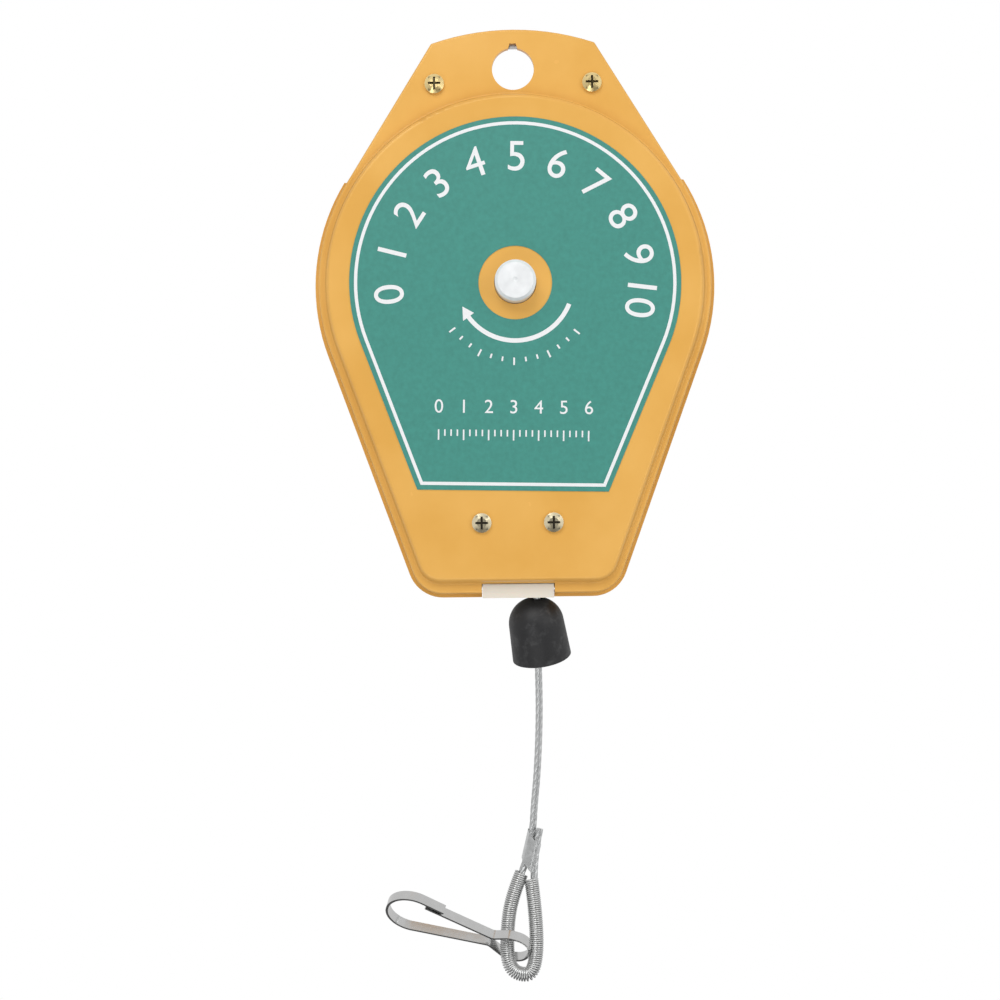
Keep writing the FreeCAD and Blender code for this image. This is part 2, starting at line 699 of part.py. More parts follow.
def label_plate():
    """Printed plate on the pan: round above, tapering straight to its lower edge."""
    piece = body("label_plate")
    half, low = d.label_width / 2, -d.label_drop
    reach = math.hypot(half, low)
    touch = math.degrees(math.atan2(low, half) + math.acos(d.label_radius / reach))
    drawing = sketch(piece, FRONT, "Sizes.metal + Sizes.pan_rise")
    right = polar(d.label_radius, touch)
    draw(drawing, [arc(Vector(), d.label_radius, touch, 180.0 - touch),
                   Part.LineSegment(Vector(-right.x, right.y, 0), Vector(-half, low, 0)),
                   Part.LineSegment(Vector(-half, low, 0), Vector(half, low, 0)),
                   Part.LineSegment(Vector(half, low, 0), right)])
    circle(drawing, "Sizes.label_hole")
    pad(piece, drawing, "Sizes.label_metal")
    piece.Placement = Placement(Vector(0, 0, 0), Rotation(Vector(0, 1, 0), d.label_turn))
    on_axis(piece)


front_cover()
rear_tub()
label_plate()


# ---------------------------------------------------------------- screws of the housing

RECESS_REACH = 0.33      # half of the recess's span, as a share of the head


def screw_form(label, size, head, head_height, length):
    """Pan-head screw with a cross recess, its head's underside at the origin and its head to the front."""
    piece = turned(label, [(0, -head_height), (head / 4, -head_height), (head / 2, -head_height / 2),
                           (head / 2, 0), (size / 2, 0), (size / 2, length), (0, length)],
                   at=Placement(), kept=False)
    drawing = sketch(piece, FRONT, head_height)
    wide, slot = RECESS_REACH * head, d.recess_width / 2
    polygon(drawing, [(-wide, -slot), (-slot, -slot), (-slot, -wide), (slot, -wide), (slot, -slot),
                      (wide, -slot), (wide, slot), (slot, slot), (slot, wide), (-slot, wide),
                      (-slot, slot), (-wide, slot)])
    pocket(piece, drawing, "Sizes.recess_depth", toward_front=False)
    doc.recompute()
    return piece.Shape


def copies(label, form, places, depth):
    """One node of separate solids: a form set at several places about the shaft axis."""
    solids = []
    for x, z in places:
        solid = form.copy()
        solid.translate(Vector(x, depth, z - d.axis_drop))
        solids.append(solid)
    return made(label, Part.makeCompound(solids))


NUT_SPARE = 1.0     # thread beyond a nut
ear_stack = 2 * d.metal
long_stack = -PAN_Y + d.tub_depth + d.washer_height

short_screw = screw_form("ear_screw_form", d.screw_size, d.screw_head, d.screw_head_height,
                         ear_stack + d.nut_height + NUT_SPARE)
long_screw = screw_form("low_screw_form", d.screw_size, d.screw_head, d.screw_head_height,
                        long_stack + d.nut_height + NUT_SPARE)
copies("top_screws", short_screw, TOP_SCREWS, -d.metal)
copies("bottom_screws", long_screw, LOW_SCREWS, PAN_Y)

nut = body("nut_form", kept=False)
drawing = sketch(nut, FRONT)
polygon(drawing, [polar(d.nut_width / math.sqrt(3), 60 * k) for k in range(6)])
circle(drawing, "Sizes.screw_size")
pad(nut, drawing, "Sizes.nut_height", toward_front=False)
doc.recompute()
copies("top_nuts", nut.Shape, TOP_SCREWS, d.metal)
copies("bottom_nuts", nut.Shape, LOW_SCREWS, d.tub_depth + d.washer_height)

washer = turned("washer_form", [(d.screw_size / 2, 0), (d.washer_width / 2, 0),
                                (d.washer_width / 2, d.washer_height), (d.screw_size / 2, d.washer_height)],
                at=Placement(), kept=False)
doc.recompute()
copies("nut_washers", washer.Shape, LOW_SCREWS, d.tub_depth)


# ---------------------------------------------------------------- shaft, bushes and washers

SHAFT = d.shaft_size / 2
BORE = SHAFT + d.running_gap
BUSH = BORE + d.bush_wall
BUSH_FLANGE = BUSH + d.bush_flange
SHAFT_FRONT = PAN_Y - d.shaft_out
FRONT_WASHER = -d.pan_rise + d.front_bush_length
DRUM_FRONT = FRONT_WASHER + d.thrust_height + d.end_gap
HUB_END = DRUM_FRONT + d.hub_length
TUB_BACK = d.tub_depth - d.metal
REAR_WASHER = TUB_BACK - d.rear_bush_length - d.thrust_height
PLATE_BACK = REAR_WASHER - d.end_gap - d.bush_flange_height
DRUM_END = PLATE_BACK - d.plate_metal
ARBOR_START = HUB_END + d.end_gap
ARBOR_END = DRUM_END - d.end_gap
ARBOR = d.arbor_size / 2
SQUARE_START = d.tub_depth + d.end_gap
WHEEL_FRONT = d.tub_depth + d.ratchet_gap
CIRCLIP_FRONT = WHEEL_FRONT + d.ratchet_width + d.end_gap / 3
CIRCLIP_BORE = d.square_size / math.sqrt(2) - d.circlip_bite
SPRING_START = HUB_END + d.spring_play
SPRING_WIDTH = DRUM_END - d.spring_play - SPRING_START


def ring(label, inner, outer, start, end):
    return turned(label, [(inner, start), (outer, start), (outer, end), (inner, end)])


def flanged_bush(label, start, end, flange_start, flange_end):
    """Plain bearing bush with a flange at one of its ends."""
    if flange_start == start:
        outline = [(BORE, start), (BUSH_FLANGE, start), (BUSH_FLANGE, flange_end), (BUSH, flange_end),
                   (BUSH, end), (BORE, end)]
    else:
        outline = [(BORE, start), (BUSH, start), (BUSH, flange_start), (BUSH_FLANGE, flange_start),
                   (BUSH_FLANGE, end), (BORE, end)]
    return turned(label, outline)


def shaft():
    """Tension shaft: round front end, thick slotted arbor, squared rear end."""
    front, chamfer = SHAFT_FRONT, d.shaft_chamfer
    centre = d.centre_hole / 2
    piece = turned("shaft", [(0, front + d.centre_depth), (centre, front), (SHAFT - chamfer, front),
                             (SHAFT, front + chamfer), (SHAFT, ARBOR_START), (ARBOR, ARBOR_START),
                             (ARBOR, ARBOR_END), (SHAFT, ARBOR_END), (SHAFT, SQUARE_START),
                             (0, SQUARE_START)])
    square = d.square_size / 2
    drawing = sketch(piece, FRONT, -SQUARE_START)
    polygon(drawing, [(-square, -square), (square, -square), (square, square), (-square, square)])
    pad(piece, drawing, "Sizes.square_out - Sizes.end_gap", toward_front=False)
    drawing = sketch(piece, AXIAL)
    corner = d.square_size
    polygon(drawing, [(CIRCLIP_BORE, CIRCLIP_FRONT), (corner, CIRCLIP_FRONT),
                      (corner, CIRCLIP_FRONT + d.circlip_metal),
                      (CIRCLIP_BORE, CIRCLIP_FRONT + d.circlip_metal)])
    groove = piece.newObject("PartDesign::Groove", "shaft_groove")
    groove.Profile = drawing
    groove.ReferenceAxis = (drawing, ["V_Axis"])
    groove.Angle = 360.0
    drawing = sketch(piece, FRONT, -ARBOR_START)
    low = -d.spring_bend - d.spring_band / 2 - d.spring_gap
    inner = ARBOR - d.arbor_slot_depth
    polygon(drawing, [(inner, low), (ARBOR + 1, low), (ARBOR + 1, 0), (inner, 0)])
    pocket(piece, drawing, ARBOR_END - ARBOR_START, toward_front=False)


def circlip():
    """Open spring ring in the shaft's groove, behind the ratchet wheel."""
    piece = body("shaft_circlip")
    drawing = sketch(piece, FRONT, -CIRCLIP_FRONT)
    outer = CIRCLIP_BORE + d.circlip_wall
    gap = d.circlip_gap / 2
    draw(drawing, [arc(Vector(), outer, -90 + gap, 270 - gap),
                   arc(Vector(), CIRCLIP_BORE, -90 + gap, 270 - gap),
                   Part.LineSegment(polar(CIRCLIP_BORE, -90 + gap), polar(outer, -90 + gap)),
                   Part.LineSegment(polar(CIRCLIP_BORE, 270 - gap), polar(outer, 270 - gap))])
    pad(piece, drawing, "Sizes.circlip_metal", toward_front=False)
    on_axis(piece)


shaft()
circlip()
flanged_bush("front_bush", -d.pan_rise, FRONT_WASHER, -d.pan_rise, -d.pan_rise + d.bush_flange_height)
flanged_bush("rear_bush", REAR_WASHER + d.thrust_height, TUB_BACK, TUB_BACK - d.bush_flange_height, TUB_BACK)
ring("thrust_washer_front", BORE, d.thrust_width / 2, FRONT_WASHER, FRONT_WASHER + d.thrust_height)
ring("thrust_washer_rear", BORE, d.thrust_width / 2, REAR_WASHER, REAR_WASHER + d.thrust_height)
ring("drum_bush_front", BORE, BUSH, DRUM_FRONT, HUB_END)
flanged_bush("drum_bush_rear", DRUM_END, PLATE_BACK + d.bush_flange_height, PLATE_BACK,
             PLATE_BACK + d.bush_flange_height)


# ---------------------------------------------------------------- rope drum and mainspring

ROPE = d.rope_size / 2
ROPE_RADIUS = d.drum_radius + ROPE
LAND = d.drum_radius + d.groove_depth
FLANGE_RIM = d.drum_radius + d.drum_flange_out
POCKET = d.drum_radius - d.drum_wall
GROOVES_START = DRUM_FRONT + d.drum_flange
GROOVES_END = GROOVES_START + d.rope_turns * d.rope_pitch
ROPE_DEPTHS = [GROOVES_START + (k + 0.5) * d.rope_pitch for k in range(d.rope_turns)]
RIM_SCREWS = [polar((POCKET + LAND) / 2, 60 + 360 * k / d.plate_screws) for k in range(d.plate_screws)]
SPRING_IN = ARBOR + d.spring_band / 2 + d.end_gap
SPRING_OUT = SPRING_IN + d.spring_turns * d.spring_pitch
RIM_SLOT = POCKET + 0.6 * d.drum_wall
FRONT_TURN = 330.0      # part of a turn that lies on the drum beside the flange in front
BACK_TURN = 345.0       # and from the button on


def rope_drum():
    """Cast drum: hub and web, rim round the spring's pocket, grooves for the rope between two flanges."""
    piece = body("rope_drum")
    drawing = sketch(piece, AXIAL)
    groove = ROPE + d.running_gap
    half = math.sqrt(groove ** 2 - (ROPE_RADIUS - LAND) ** 2)
    swing = math.degrees(math.atan2(half, LAND - ROPE_RADIUS))
    outline = [(BUSH, HUB_END), (BUSH, DRUM_FRONT), (FLANGE_RIM, DRUM_FRONT), (FLANGE_RIM, GROOVES_START),
               (LAND, GROOVES_START)]
    edges = []
    here = outline[-1]
    for depth in ROPE_DEPTHS:
        edges.append(Part.LineSegment(Vector(here[0], here[1], 0), Vector(LAND, depth - half, 0)))
        edges.append(arc(Vector(ROPE_RADIUS, depth, 0), groove, swing, 360 - swing))
        here = (LAND, depth + half)
    hub = BUSH + d.hub_wall
    web_back = DRUM_FRONT + d.drum_web
    rest = [here, (LAND, GROOVES_END), (FLANGE_RIM, GROOVES_END), (FLANGE_RIM, GROOVES_END + d.drum_flange),
            (LAND, GROOVES_END + d.drum_flange), (LAND, DRUM_END), (POCKET, DRUM_END), (POCKET, web_back),
            (hub, web_back), (hub, HUB_END), (BUSH, HUB_END)]
    for points in (outline, rest):
        for a, b in zip(points, points[1:]):
            edges.append(Part.LineSegment(Vector(a[0], a[1], 0), Vector(b[0], b[1], 0)))
    draw(drawing, edges)
    turn = piece.newObject("PartDesign::Revolution", "rope_drum_turned")
    turn.Profile = drawing
    turn.ReferenceAxis = (drawing, ["V_Axis"])
    turn.Angle = 360.0
    drawing = sketch(piece, FRONT, -DRUM_END)
    for place in RIM_SCREWS:
        circle(drawing, "Sizes.plate_screw", place.x, place.y)
    pocket(piece, drawing, "Sizes.plate_screw_length")
    drawing = sketch(piece, FRONT, -DRUM_END)
    wide = d.spring_band / 2 + d.spring_gap
    polygon(drawing, [(POCKET - 1, d.spring_bend - wide), (RIM_SLOT + d.spring_gap, d.spring_bend - wide),
                      (RIM_SLOT + d.spring_gap, d.spring_bend + wide), (POCKET - 1, d.spring_bend + wide)])
    pocket(piece, drawing, SPRING_WIDTH + 4 * d.end_gap)
    drawing = sketch(piece, FRONT, -GROOVES_END - d.drum_flange)
    button = polar(ROPE_RADIUS, d.anchor_angle)
    circle(drawing, "Sizes.anchor_size", button.x, button.y)
    pocket(piece, drawing, "Sizes.drum_flange + Sizes.rope_pitch")
    on_axis(piece)


def spring_cover():
    """Plate that shuts the spring's pocket, screwed to the drum's rim."""
    piece = body("spring_cover")
    drawing = sketch(piece, FRONT, -DRUM_END)
    draw(drawing, [Part.Circle(Vector(), Vector(0, 0, 1), LAND - d.end_gap),
                   Part.Circle(Vector(), Vector(0, 0, 1), BUSH)])
    for place in RIM_SCREWS:
        circle(drawing, "Sizes.plate_screw", place.x, place.y)
    pad(piece, drawing, "Sizes.plate_metal", toward_front=False)
    on_axis(piece)


def mainspring():
    """Spiral band: hooked into the shaft's slot inside and into the drum's rim outside."""
    half, pitch, bend = d.spring_band / 2, d.spring_pitch, d.spring_bend
    inner_end = ARBOR - d.arbor_slot_depth + d.spring_gap
    edges = []
    for side in (-half, half):
        for k in range(2 * d.spring_turns):
            centre = Vector(pitch / 2 * (k % 2), 0, 0)
            radius = SPRING_IN + k * pitch / 2 + side
            edges.append(arc(centre, radius, 180.0 * (k % 2), 180.0 * (k % 2) + 180.0))
        edges.append(arc(Vector(SPRING_IN - bend, 0, 0), bend + side, -90, 0))
        edges.append(Part.LineSegment(Vector(inner_end, -bend - side, 0),
                                      Vector(SPRING_IN - bend, -bend - side, 0)))
        edges.append(arc(Vector(SPRING_OUT + bend, 0, 0), bend - side, 90, 180))
        edges.append(Part.LineSegment(Vector(SPRING_OUT + bend, bend - side, 0),
                                      Vector(RIM_SLOT, bend - side, 0)))
    edges.append(Part.LineSegment(Vector(inner_end, -bend - half, 0), Vector(inner_end, -bend + half, 0)))
    edges.append(Part.LineSegment(Vector(RIM_SLOT, bend - half, 0), Vector(RIM_SLOT, bend + half, 0)))
    piece = body("mainspring")
    drawing = sketch(piece, FRONT, -SPRING_START)
    draw(drawing, edges)
    pad(piece, drawing, SPRING_WIDTH, toward_front=False)
    on_axis(piece)


def rope_turns():
    """The turns wound on the drum, from the button to where the rope leaves the drum's left side."""
    turns = []
    for k, depth in enumerate(ROPE_DEPTHS):
        start, sweep = 0.0, 360.0
        if k == 0:
            start, sweep = LEAVE_ANGLE - FRONT_TURN, FRONT_TURN
        if k == d.rope_turns - 1:
            start = d.anchor_angle + math.degrees(math.asin(d.anchor_size / 2 / ROPE_RADIUS))
            sweep = BACK_TURN
        turn = Part.makeTorus(ROPE_RADIUS, ROPE, Vector(), Vector(0, 0, 1), 0, 360, sweep)
        turn.rotate(Vector(), Vector(0, 0, 1), start)
        turn.rotate(Vector(), Vector(1, 0, 0), 90)
        turn.translate(Vector(0, depth, -d.axis_drop))
        turns.append(turn)
    made("rope_on_drum", Part.makeCompound(turns))


def rope_button():
    """Button swaged on the rope's inner end, seated in the drum's rear flange."""
    piece = body("rope_anchor")
    drawing = sketch(piece, FRONT, -GROOVES_END - d.drum_flange)
    place = polar(ROPE_RADIUS, d.anchor_angle)
    circle(drawing, "Sizes.anchor_size", place.x, place.y)
    pad(piece, drawing, "Sizes.drum_flange + Sizes.rope_pitch")
    on_axis(piece)


GUIDE_LOW = -d.base_drop + d.metal + d.tub_fit + d.guide_lift
CORNER = Vector(d.exit_x, GUIDE_LOW, 0)
LEAVE_ANGLE = 360 + angle_of(CORNER) - math.degrees(math.acos(ROPE_RADIUS / CORNER.Length))

rope_drum()
spring_cover()
screw = screw_form("plate_screw_form", d.plate_screw, d.plate_screw_head, d.plate_screw_head_height,
                   d.plate_metal + d.plate_screw_length).copy()
screw.rotate(Vector(), Vector(0, 0, 1), 180)
copies("spring_cover_screws", screw, [(p.x, p.y) for p in RIM_SCREWS], PLATE_BACK)
mainspring()
rope_turns()
rope_button()


# ---------------------------------------------------------------- ratchet on the back

TOOTH_STEP = 360.0 / d.ratchet_teeth
ROOT = d.ratchet_radius - d.tooth_height
STEEP = -95.0        # steep face of the tooth that the pawl holds
PAWL_FRONT = WHEEL_FRONT + (d.ratchet_width - d.pawl_width) / 2
PIVOT = Vector(d.pawl_pivot_x, -d.pawl_pivot_drop, 0)
PIN = d.pawl_pin_size / 2
COIL_START = PAWL_FRONT + d.pawl_width + d.spring_wire / 2 + d.end_gap
TOOTH_SINK = 0.6     # foot of each tooth inside the wheel
TOOTH_LAND = 1.2     # flat on each tooth's tip, an angle
COIL_TURNS = 3
COIL_CORNERS = 8     # arcs in each turn
PIN_HEAD = COIL_START + COIL_TURNS * d.coil_pitch + d.spring_wire


def ratchet_wheel():
    """Ratchet wheel on the shaft's square: one sloping tooth, repeated round the rim."""
    piece = body("ratchet_wheel")
    drawing = sketch(piece, FRONT, -WHEEL_FRONT)
    draw(drawing, [Part.Circle(Vector(), Vector(0, 0, 1), ROOT)])
    square = d.square_size / 2
    polygon(drawing, [(-square, -square), (square, -square), (square, square), (-square, square)])
    pad(piece, drawing, "Sizes.ratchet_width", toward_front=False)
    drawing = sketch(piece, FRONT, -WHEEL_FRONT)
    polygon(drawing, [polar(ROOT - TOOTH_SINK, STEEP), polar(d.ratchet_radius, STEEP),
                      polar(d.ratchet_radius, STEEP - TOOTH_LAND), polar(ROOT - 0.05, STEEP - TOOTH_STEP),
                      polar(ROOT - TOOTH_SINK, STEEP - TOOTH_STEP)])
    tooth = pad(piece, drawing, "Sizes.ratchet_width", toward_front=False)
    doc.recompute()
    around(piece, tooth, d.ratchet_teeth)
    on_axis(piece)


def pawl():
    """Pawl: round boss on its pin, arm to the left, tip in the wheel's lowest notch."""
    play = math.degrees(d.pawl_play / d.ratchet_radius)
    tip_high = polar(ROOT + 0.6, STEEP + play)
    tip_low = polar(d.ratchet_radius + 0.4, STEEP + TOOTH_STEP)
    arm_top = polar(d.ratchet_radius + 0.8, STEEP + 2.2 * TOOTH_STEP)
    arm_low = PIVOT.y - d.pawl_boss / 2 + 0.8
    piece = body("pawl")
    drawing = sketch(piece, FRONT, -PAWL_FRONT)
    draw(drawing, [Part.Circle(PIVOT, Vector(0, 0, 1), d.pawl_boss / 2)])
    pad(piece, drawing, "Sizes.pawl_width", toward_front=False)
    drawing = sketch(piece, FRONT, -PAWL_FRONT)
    polygon(drawing, [tip_high, tip_low, arm_top, (PIVOT.x, PIVOT.y + d.pawl_boss / 2 - 0.4),
                      (PIVOT.x, arm_low), (tip_high.x + 4.5, arm_low + 1.4), (tip_high.x, arm_low + 3.2)])
    pad(piece, drawing, "Sizes.pawl_width", toward_front=False)
    drawing = sketch(piece, FRONT, -PAWL_FRONT)
    circle(drawing, "Sizes.pawl_pin_size + 2 * Sizes.running_gap", PIVOT.x, PIVOT.y)
    pocket(piece, drawing, "Sizes.pawl_width", toward_front=False)
    on_axis(piece)


def pawl_pin():
    """Stepped pin riveted in the tub's back; its head keeps the pawl and its spring on."""
    head = d.pawl_pin_head / 2
    piece = turned("pawl_pin", [(0, TUB_BACK - d.metal), (head - 1, TUB_BACK - d.metal), (head - 1, TUB_BACK),
                                (PIN, TUB_BACK), (PIN, PIN_HEAD), (head, PIN_HEAD),
                                (head, PIN_HEAD + d.metal), (0, PIN_HEAD + d.metal)], at=Placement())
    piece.Placement.Base = Vector(PIVOT.x, 0, PIVOT.y)
    piece.setExpression("Placement.Base.z", "-Sizes.axis_drop - Sizes.pawl_pivot_drop")
    piece.setExpression("Placement.Base.x", "Sizes.pawl_pivot_x")


def pawl_spring():
    """Torsion spring round the pin: one leg under the pawl's arm, the other into the tub's back."""
    radius, bend = d.spring_coil / 2, 1.5 * d.spring_wire
    step = 360 / COIL_CORNERS
    count = int((COIL_TURNS - 0.25) * COIL_CORNERS)
    rise = d.coil_pitch / COIL_CORNERS
    corners = []
    for k in range(count):
        at = polar(radius / math.cos(rad(step / 2)), -90 + (k + 0.5) * step)
        corners.append(Vector(at.x, (k + 0.5) * rise, at.y))
    hook = [Vector(-d.spring_leg, -d.pawl_width * 0.7, -radius), Vector(-d.spring_leg, 0, -radius)]
    foot = [Vector(-radius, count * rise, -SPRING_FOOT),
            Vector(-radius, TUB_BACK + d.spring_bite - COIL_START, -SPRING_FOOT)]
    shape = tube(hook + corners + foot, d.spring_wire, [bend] + [0.98 * radius] * count + [bend])
    made("pawl_spring", shape, Placement(Vector(PIVOT.x, COIL_START, PIVOT.y - d.axis_drop), Rotation()))


ratchet_wheel()
pawl()
pawl_pin()
pawl_spring()


# ---------------------------------------------------------------- rope guide

def rope_guide():
    """Moulded guide between the shells: block with the rope's window, neck through the base."""
    piece = body("rope_guide")
    half, top = d.guide_width / 2, GUIDE_LOW + d.guide_height
    drawing = sketch(piece, FRONT, "Sizes.pan_rise")
    polygon(drawing, [(-half, GUIDE_LOW), (half, GUIDE_LOW), (half, top), (-half, top)])
    block = pad(piece, drawing, "Sizes.pan_rise + Sizes.tub_depth - Sizes.metal", toward_front=False)
    doc.recompute()
    cut = piece.newObject("PartDesign::Chamfer", "rope_guide_chamfer")
    cut.Base = (block, edges_where(block, lambda edge: at_depth(TUB_BACK)(edge)
                                   and abs(edge.BoundBox.ZMax - GUIDE_LOW) < 1e-4))
    cut.setExpression("Size", "Sizes.guide_chamfer")
    neck, foot = d.exit_width / 2 - d.guide_fit, -d.base_drop - d.guide_out
    drawing = sketch(piece, FRONT, "-Sizes.neck_depth")
    polygon(drawing, [(-neck, foot), (neck, foot), (neck, GUIDE_LOW), (-neck, GUIDE_LOW)])
    pad(piece, drawing, "Sizes.neck_depth - Sizes.guide_fit")
    lip = -d.base_drop + d.pan_base_step - 2 * d.guide_fit
    drawing = sketch(piece, FRONT, "-Sizes.guide_fit")
    polygon(drawing, [(-neck, foot), (neck, foot), (neck, lip), (-neck, lip)])
    pad(piece, drawing, "Sizes.guide_fit + Sizes.lip_depth")
    drawing = sketch(piece, FRONT, -d.exit_y - d.window_depth / 2)
    hole, low = d.exit_hole / 2, -d.base_drop + d.window_foot
    polygon(drawing, [(d.window_left, top + 1), (d.exit_x - hole, low), (d.exit_x + hole, low),
                      (d.window_right, top + 1)])
    pocket(piece, drawing, "Sizes.window_depth")
    drawing = sketch(piece, "XY_Plane")
    drawing.setExpression("AttachmentOffset.Base.z", "-Sizes.base_drop - Sizes.guide_out")
    circle(drawing, "Sizes.exit_hole", d.exit_x, d.exit_y)
    pocket(piece, drawing, "Sizes.guide_out + Sizes.window_foot + 1", toward_front=True)
    screw_holes(piece, LOW_SCREWS, "-Sizes.tub_depth", "Sizes.tub_depth + Sizes.pan_rise")
    on_axis(piece)


rope_guide()


# ---------------------------------------------------------------- rope and rubber bumper

GUIDE_FOOT = -d.axis_drop - d.base_drop - d.guide_out
EXIT = Vector(d.exit_x, d.exit_y, GUIDE_FOOT)


def inner_run():
    """The rope inside the housing: straight from the drum to the guide, then down to its exit."""
    leave = polar(ROPE_RADIUS, LEAVE_ANGLE)
    start = Vector(leave.x, ROPE_DEPTHS[0], leave.y - d.axis_drop)
    corner = Vector(d.exit_x, d.exit_y, GUIDE_LOW - d.axis_drop)
    start = start + (corner - start).normalize() * d.end_gap
    before_exit = EXIT + (EXIT - ROPE_ROUTE[1]).normalize() * 2.0
    made("rope_inner_run", tube([start, corner, before_exit, EXIT], d.rope_size))


# Ferrule's middle, its long direction and the direction from one rope to the other.
FERRULE_AT = Vector(4.5, 22.2, -319.7)
FERRULE_ROTATION = Rotation(Vector(0, 1, 0), d.ferrule_lean) * Rotation(Vector(0, 0, 1), -d.ferrule_turn)
FERRULE_UP = FERRULE_ROTATION.multVec(Vector(0, 0, 1))
FERRULE_ACROSS = FERRULE_ROTATION.multVec(Vector(1, 0, 0))


def main_strand(height):
    return FERRULE_AT + FERRULE_UP * height - FERRULE_ACROSS * ROPE


def tail_strand(height):
    return FERRULE_AT + FERRULE_UP * height + FERRULE_ACROSS * ROPE


def loop_point(x, z):
    """A point of the loop's plane, which leans to the front going down."""
    return Vector(x, LOOP_Y + (z - LOOP_Z) * math.tan(rad(d.loop_tilt)), z)


LOOP_X, LOOP_Y, LOOP_Z = 1.45, 14.5, -361.3      # middle of the bend at the bottom of the loop
ROPE_ROUTE = [EXIT, Vector(8.0, 15.5, -236), Vector(8.5, 20, -262), Vector(7.4, 21, -286),
              Vector(5.9, 22.3, -300.5), main_strand(9), main_strand(0)]
LOOP_LEFT = [loop_point(-3.6, -337.5), loop_point(-6.0, -350.5)]
LOOP_FOOT = [loop_point(LOOP_X - d.loop_bend - 0.2, LOOP_Z - d.loop_bend - 0.2),
             loop_point(LOOP_X + d.loop_bend + 0.6, LOOP_Z - d.loop_bend - 0.2)]
LOOP_ROUTE = ([main_strand(0), main_strand(-7)] + LOOP_LEFT + LOOP_FOOT
              + [tail_strand(-8), tail_strand(d.tail_out)])
ROUTE_STEP = 0.5      # spacing of the points that the stop's place is read from
LOOP_RADII = [None, None, None, d.loop_bend, d.loop_bend, 4 * d.rope_size]


def rope_and_bumper():
    rope = made("wire_rope", tube(ROPE_ROUTE, d.rope_size))
    print("wire_rope", rope.Shape.Volume, "section x length",
          math.pi * ROPE ** 2 * Part.Wire(route(ROPE_ROUTE)).Length)
    size, draft = d.bumper_size / 2, rad(d.bumper_draft)
    dome = d.bumper_dome
    reach = size * math.cos(draft) - d.bumper_height * math.sin(draft)
    centre = Vector((reach - dome + dome * math.sin(draft)) / math.cos(draft), -dome, 0)
    side = centre + Vector(math.cos(draft), math.sin(draft), 0) * dome
    form = body("bumper_form", kept=False)
    drawing = sketch(form, FRONT)
    cup = size - d.bumper_wall
    points = [side, Vector(size, -d.bumper_height, 0), Vector(cup, -d.bumper_height, 0),
              Vector(cup - 1, d.bumper_cup - d.bumper_height, 0),
              Vector(0, d.bumper_cup - d.bumper_height, 0),
              Vector(), Vector(centre.x, 0, 0)]
    draw(drawing, [Part.LineSegment(a, b) for a, b in zip(points, points[1:])]
         + [arc(centre, dome, d.bumper_draft, 90)])
    turn = form.newObject("PartDesign::Revolution", "bumper_turned")
    turn.Profile = drawing
    turn.ReferenceAxis = (drawing, ["V_Axis"])
    turn.Angle = 360.0
    up = Vector(-math.tan(rad(d.bumper_lean)), -math.tan(rad(d.bumper_tilt)), 1)
    form.Placement = Placement(EXIT + Vector(-d.bumper_shift, 0, -d.bumper_drop),
                               Rotation(Vector(0, 0, 1), up))
    bore = doc.addObject("Part::Feature", "bumper_bore")
    above = EXIT + (EXIT - ROPE_ROUTE[1]).normalize() * 3
    bore.Shape = tube([above] + ROPE_ROUTE[1:3], d.bumper_hole)
    bumper = doc.addObject("Part::Cut", "rubber_bumper")
    bumper.Base, bumper.Tool = form, bore
    nodes.append(bumper)
    doc.recompute()
    path = Part.Wire(route(ROPE_ROUTE))
    steps = path.discretize(Distance=ROUTE_STEP)
    middle_at = d.bumper_height - d.bumper_cup + d.stop_length / 2 + d.bumper_drop + 3 * d.end_gap
    k = int(middle_at / ROUTE_STEP)
    along = (steps[k + 1] - steps[k - 1]).normalize()
    shell_of_stop = Part.makeCylinder(d.stop_size / 2, d.stop_length,
                                      steps[k] - along * d.stop_length / 2, along)
    made("rope_stop", shell_of_stop.cut(rope.Shape))


# ---------------------------------------------------------------- ferrule, loop and sleeve

def ferrule_and_loop():
    loop = made("loop_rope", tube(LOOP_ROUTE, d.rope_size, LOOP_RADII))
    form = body("ferrule_form", kept=False)
    drawing = sketch(form, FRONT)
    half = d.rope_size + d.ferrule_side
    high = (d.ferrule_length + d.ferrule_skew) / 2
    polygon(drawing, [(-half, high - d.ferrule_length), (half, -high), (half, high - d.ferrule_skew),
                      (-half, high)])
    block = pad(form, drawing, "Sizes.rope_size + 2 * Sizes.ferrule_metal", middle=True)
    doc.recompute()
    fillet(form, block, lambda edge: edge.BoundBox.XLength < 1e-4 and edge.BoundBox.YLength < 1e-4,
           "Sizes.ferrule_edge")
    form.Placement = Placement(FERRULE_AT, FERRULE_ROTATION)
    ferrule = form
    for label, strand in (("ferrule_on_rope", main_strand), ("ferrule", tail_strand)):
        bore = doc.addObject("Part::Cylinder", label + "_bore")
        bore.setExpression("Radius", "Sizes.rope_size / 2 + Sizes.running_gap")
        bore.Height = 2 * d.ferrule_length
        bore.Placement = Placement(strand(-d.ferrule_length), FERRULE_ROTATION)
        cut = doc.addObject("Part::Cut", label)
        cut.Base, cut.Tool = ferrule, bore
        ferrule = cut
    nodes.append(ferrule)
    left, right = LOOP_ROUTE[1], LOOP_ROUTE[-2]
    start = left + (LOOP_LEFT[0] - left).normalize() * d.sleeve_below
    end = right + (LOOP_FOOT[1] - right).normalize() * d.sleeve_beside
    sleeve_route = [start] + LOOP_LEFT + LOOP_FOOT + [end]
    radii = [arc_radius(LOOP_ROUTE[k - 1], LOOP_ROUTE[k], LOOP_ROUTE[k + 1]) for k in (2, 3)]
    radii += [d.loop_bend, d.loop_bend]
    outer = tube(sleeve_route, d.sleeve_size, radii)
    inner = tube(sleeve_route, d.sleeve_size - 2 * d.sleeve_wall, radii)
    made("loop_sleeve", outer.cut(inner))


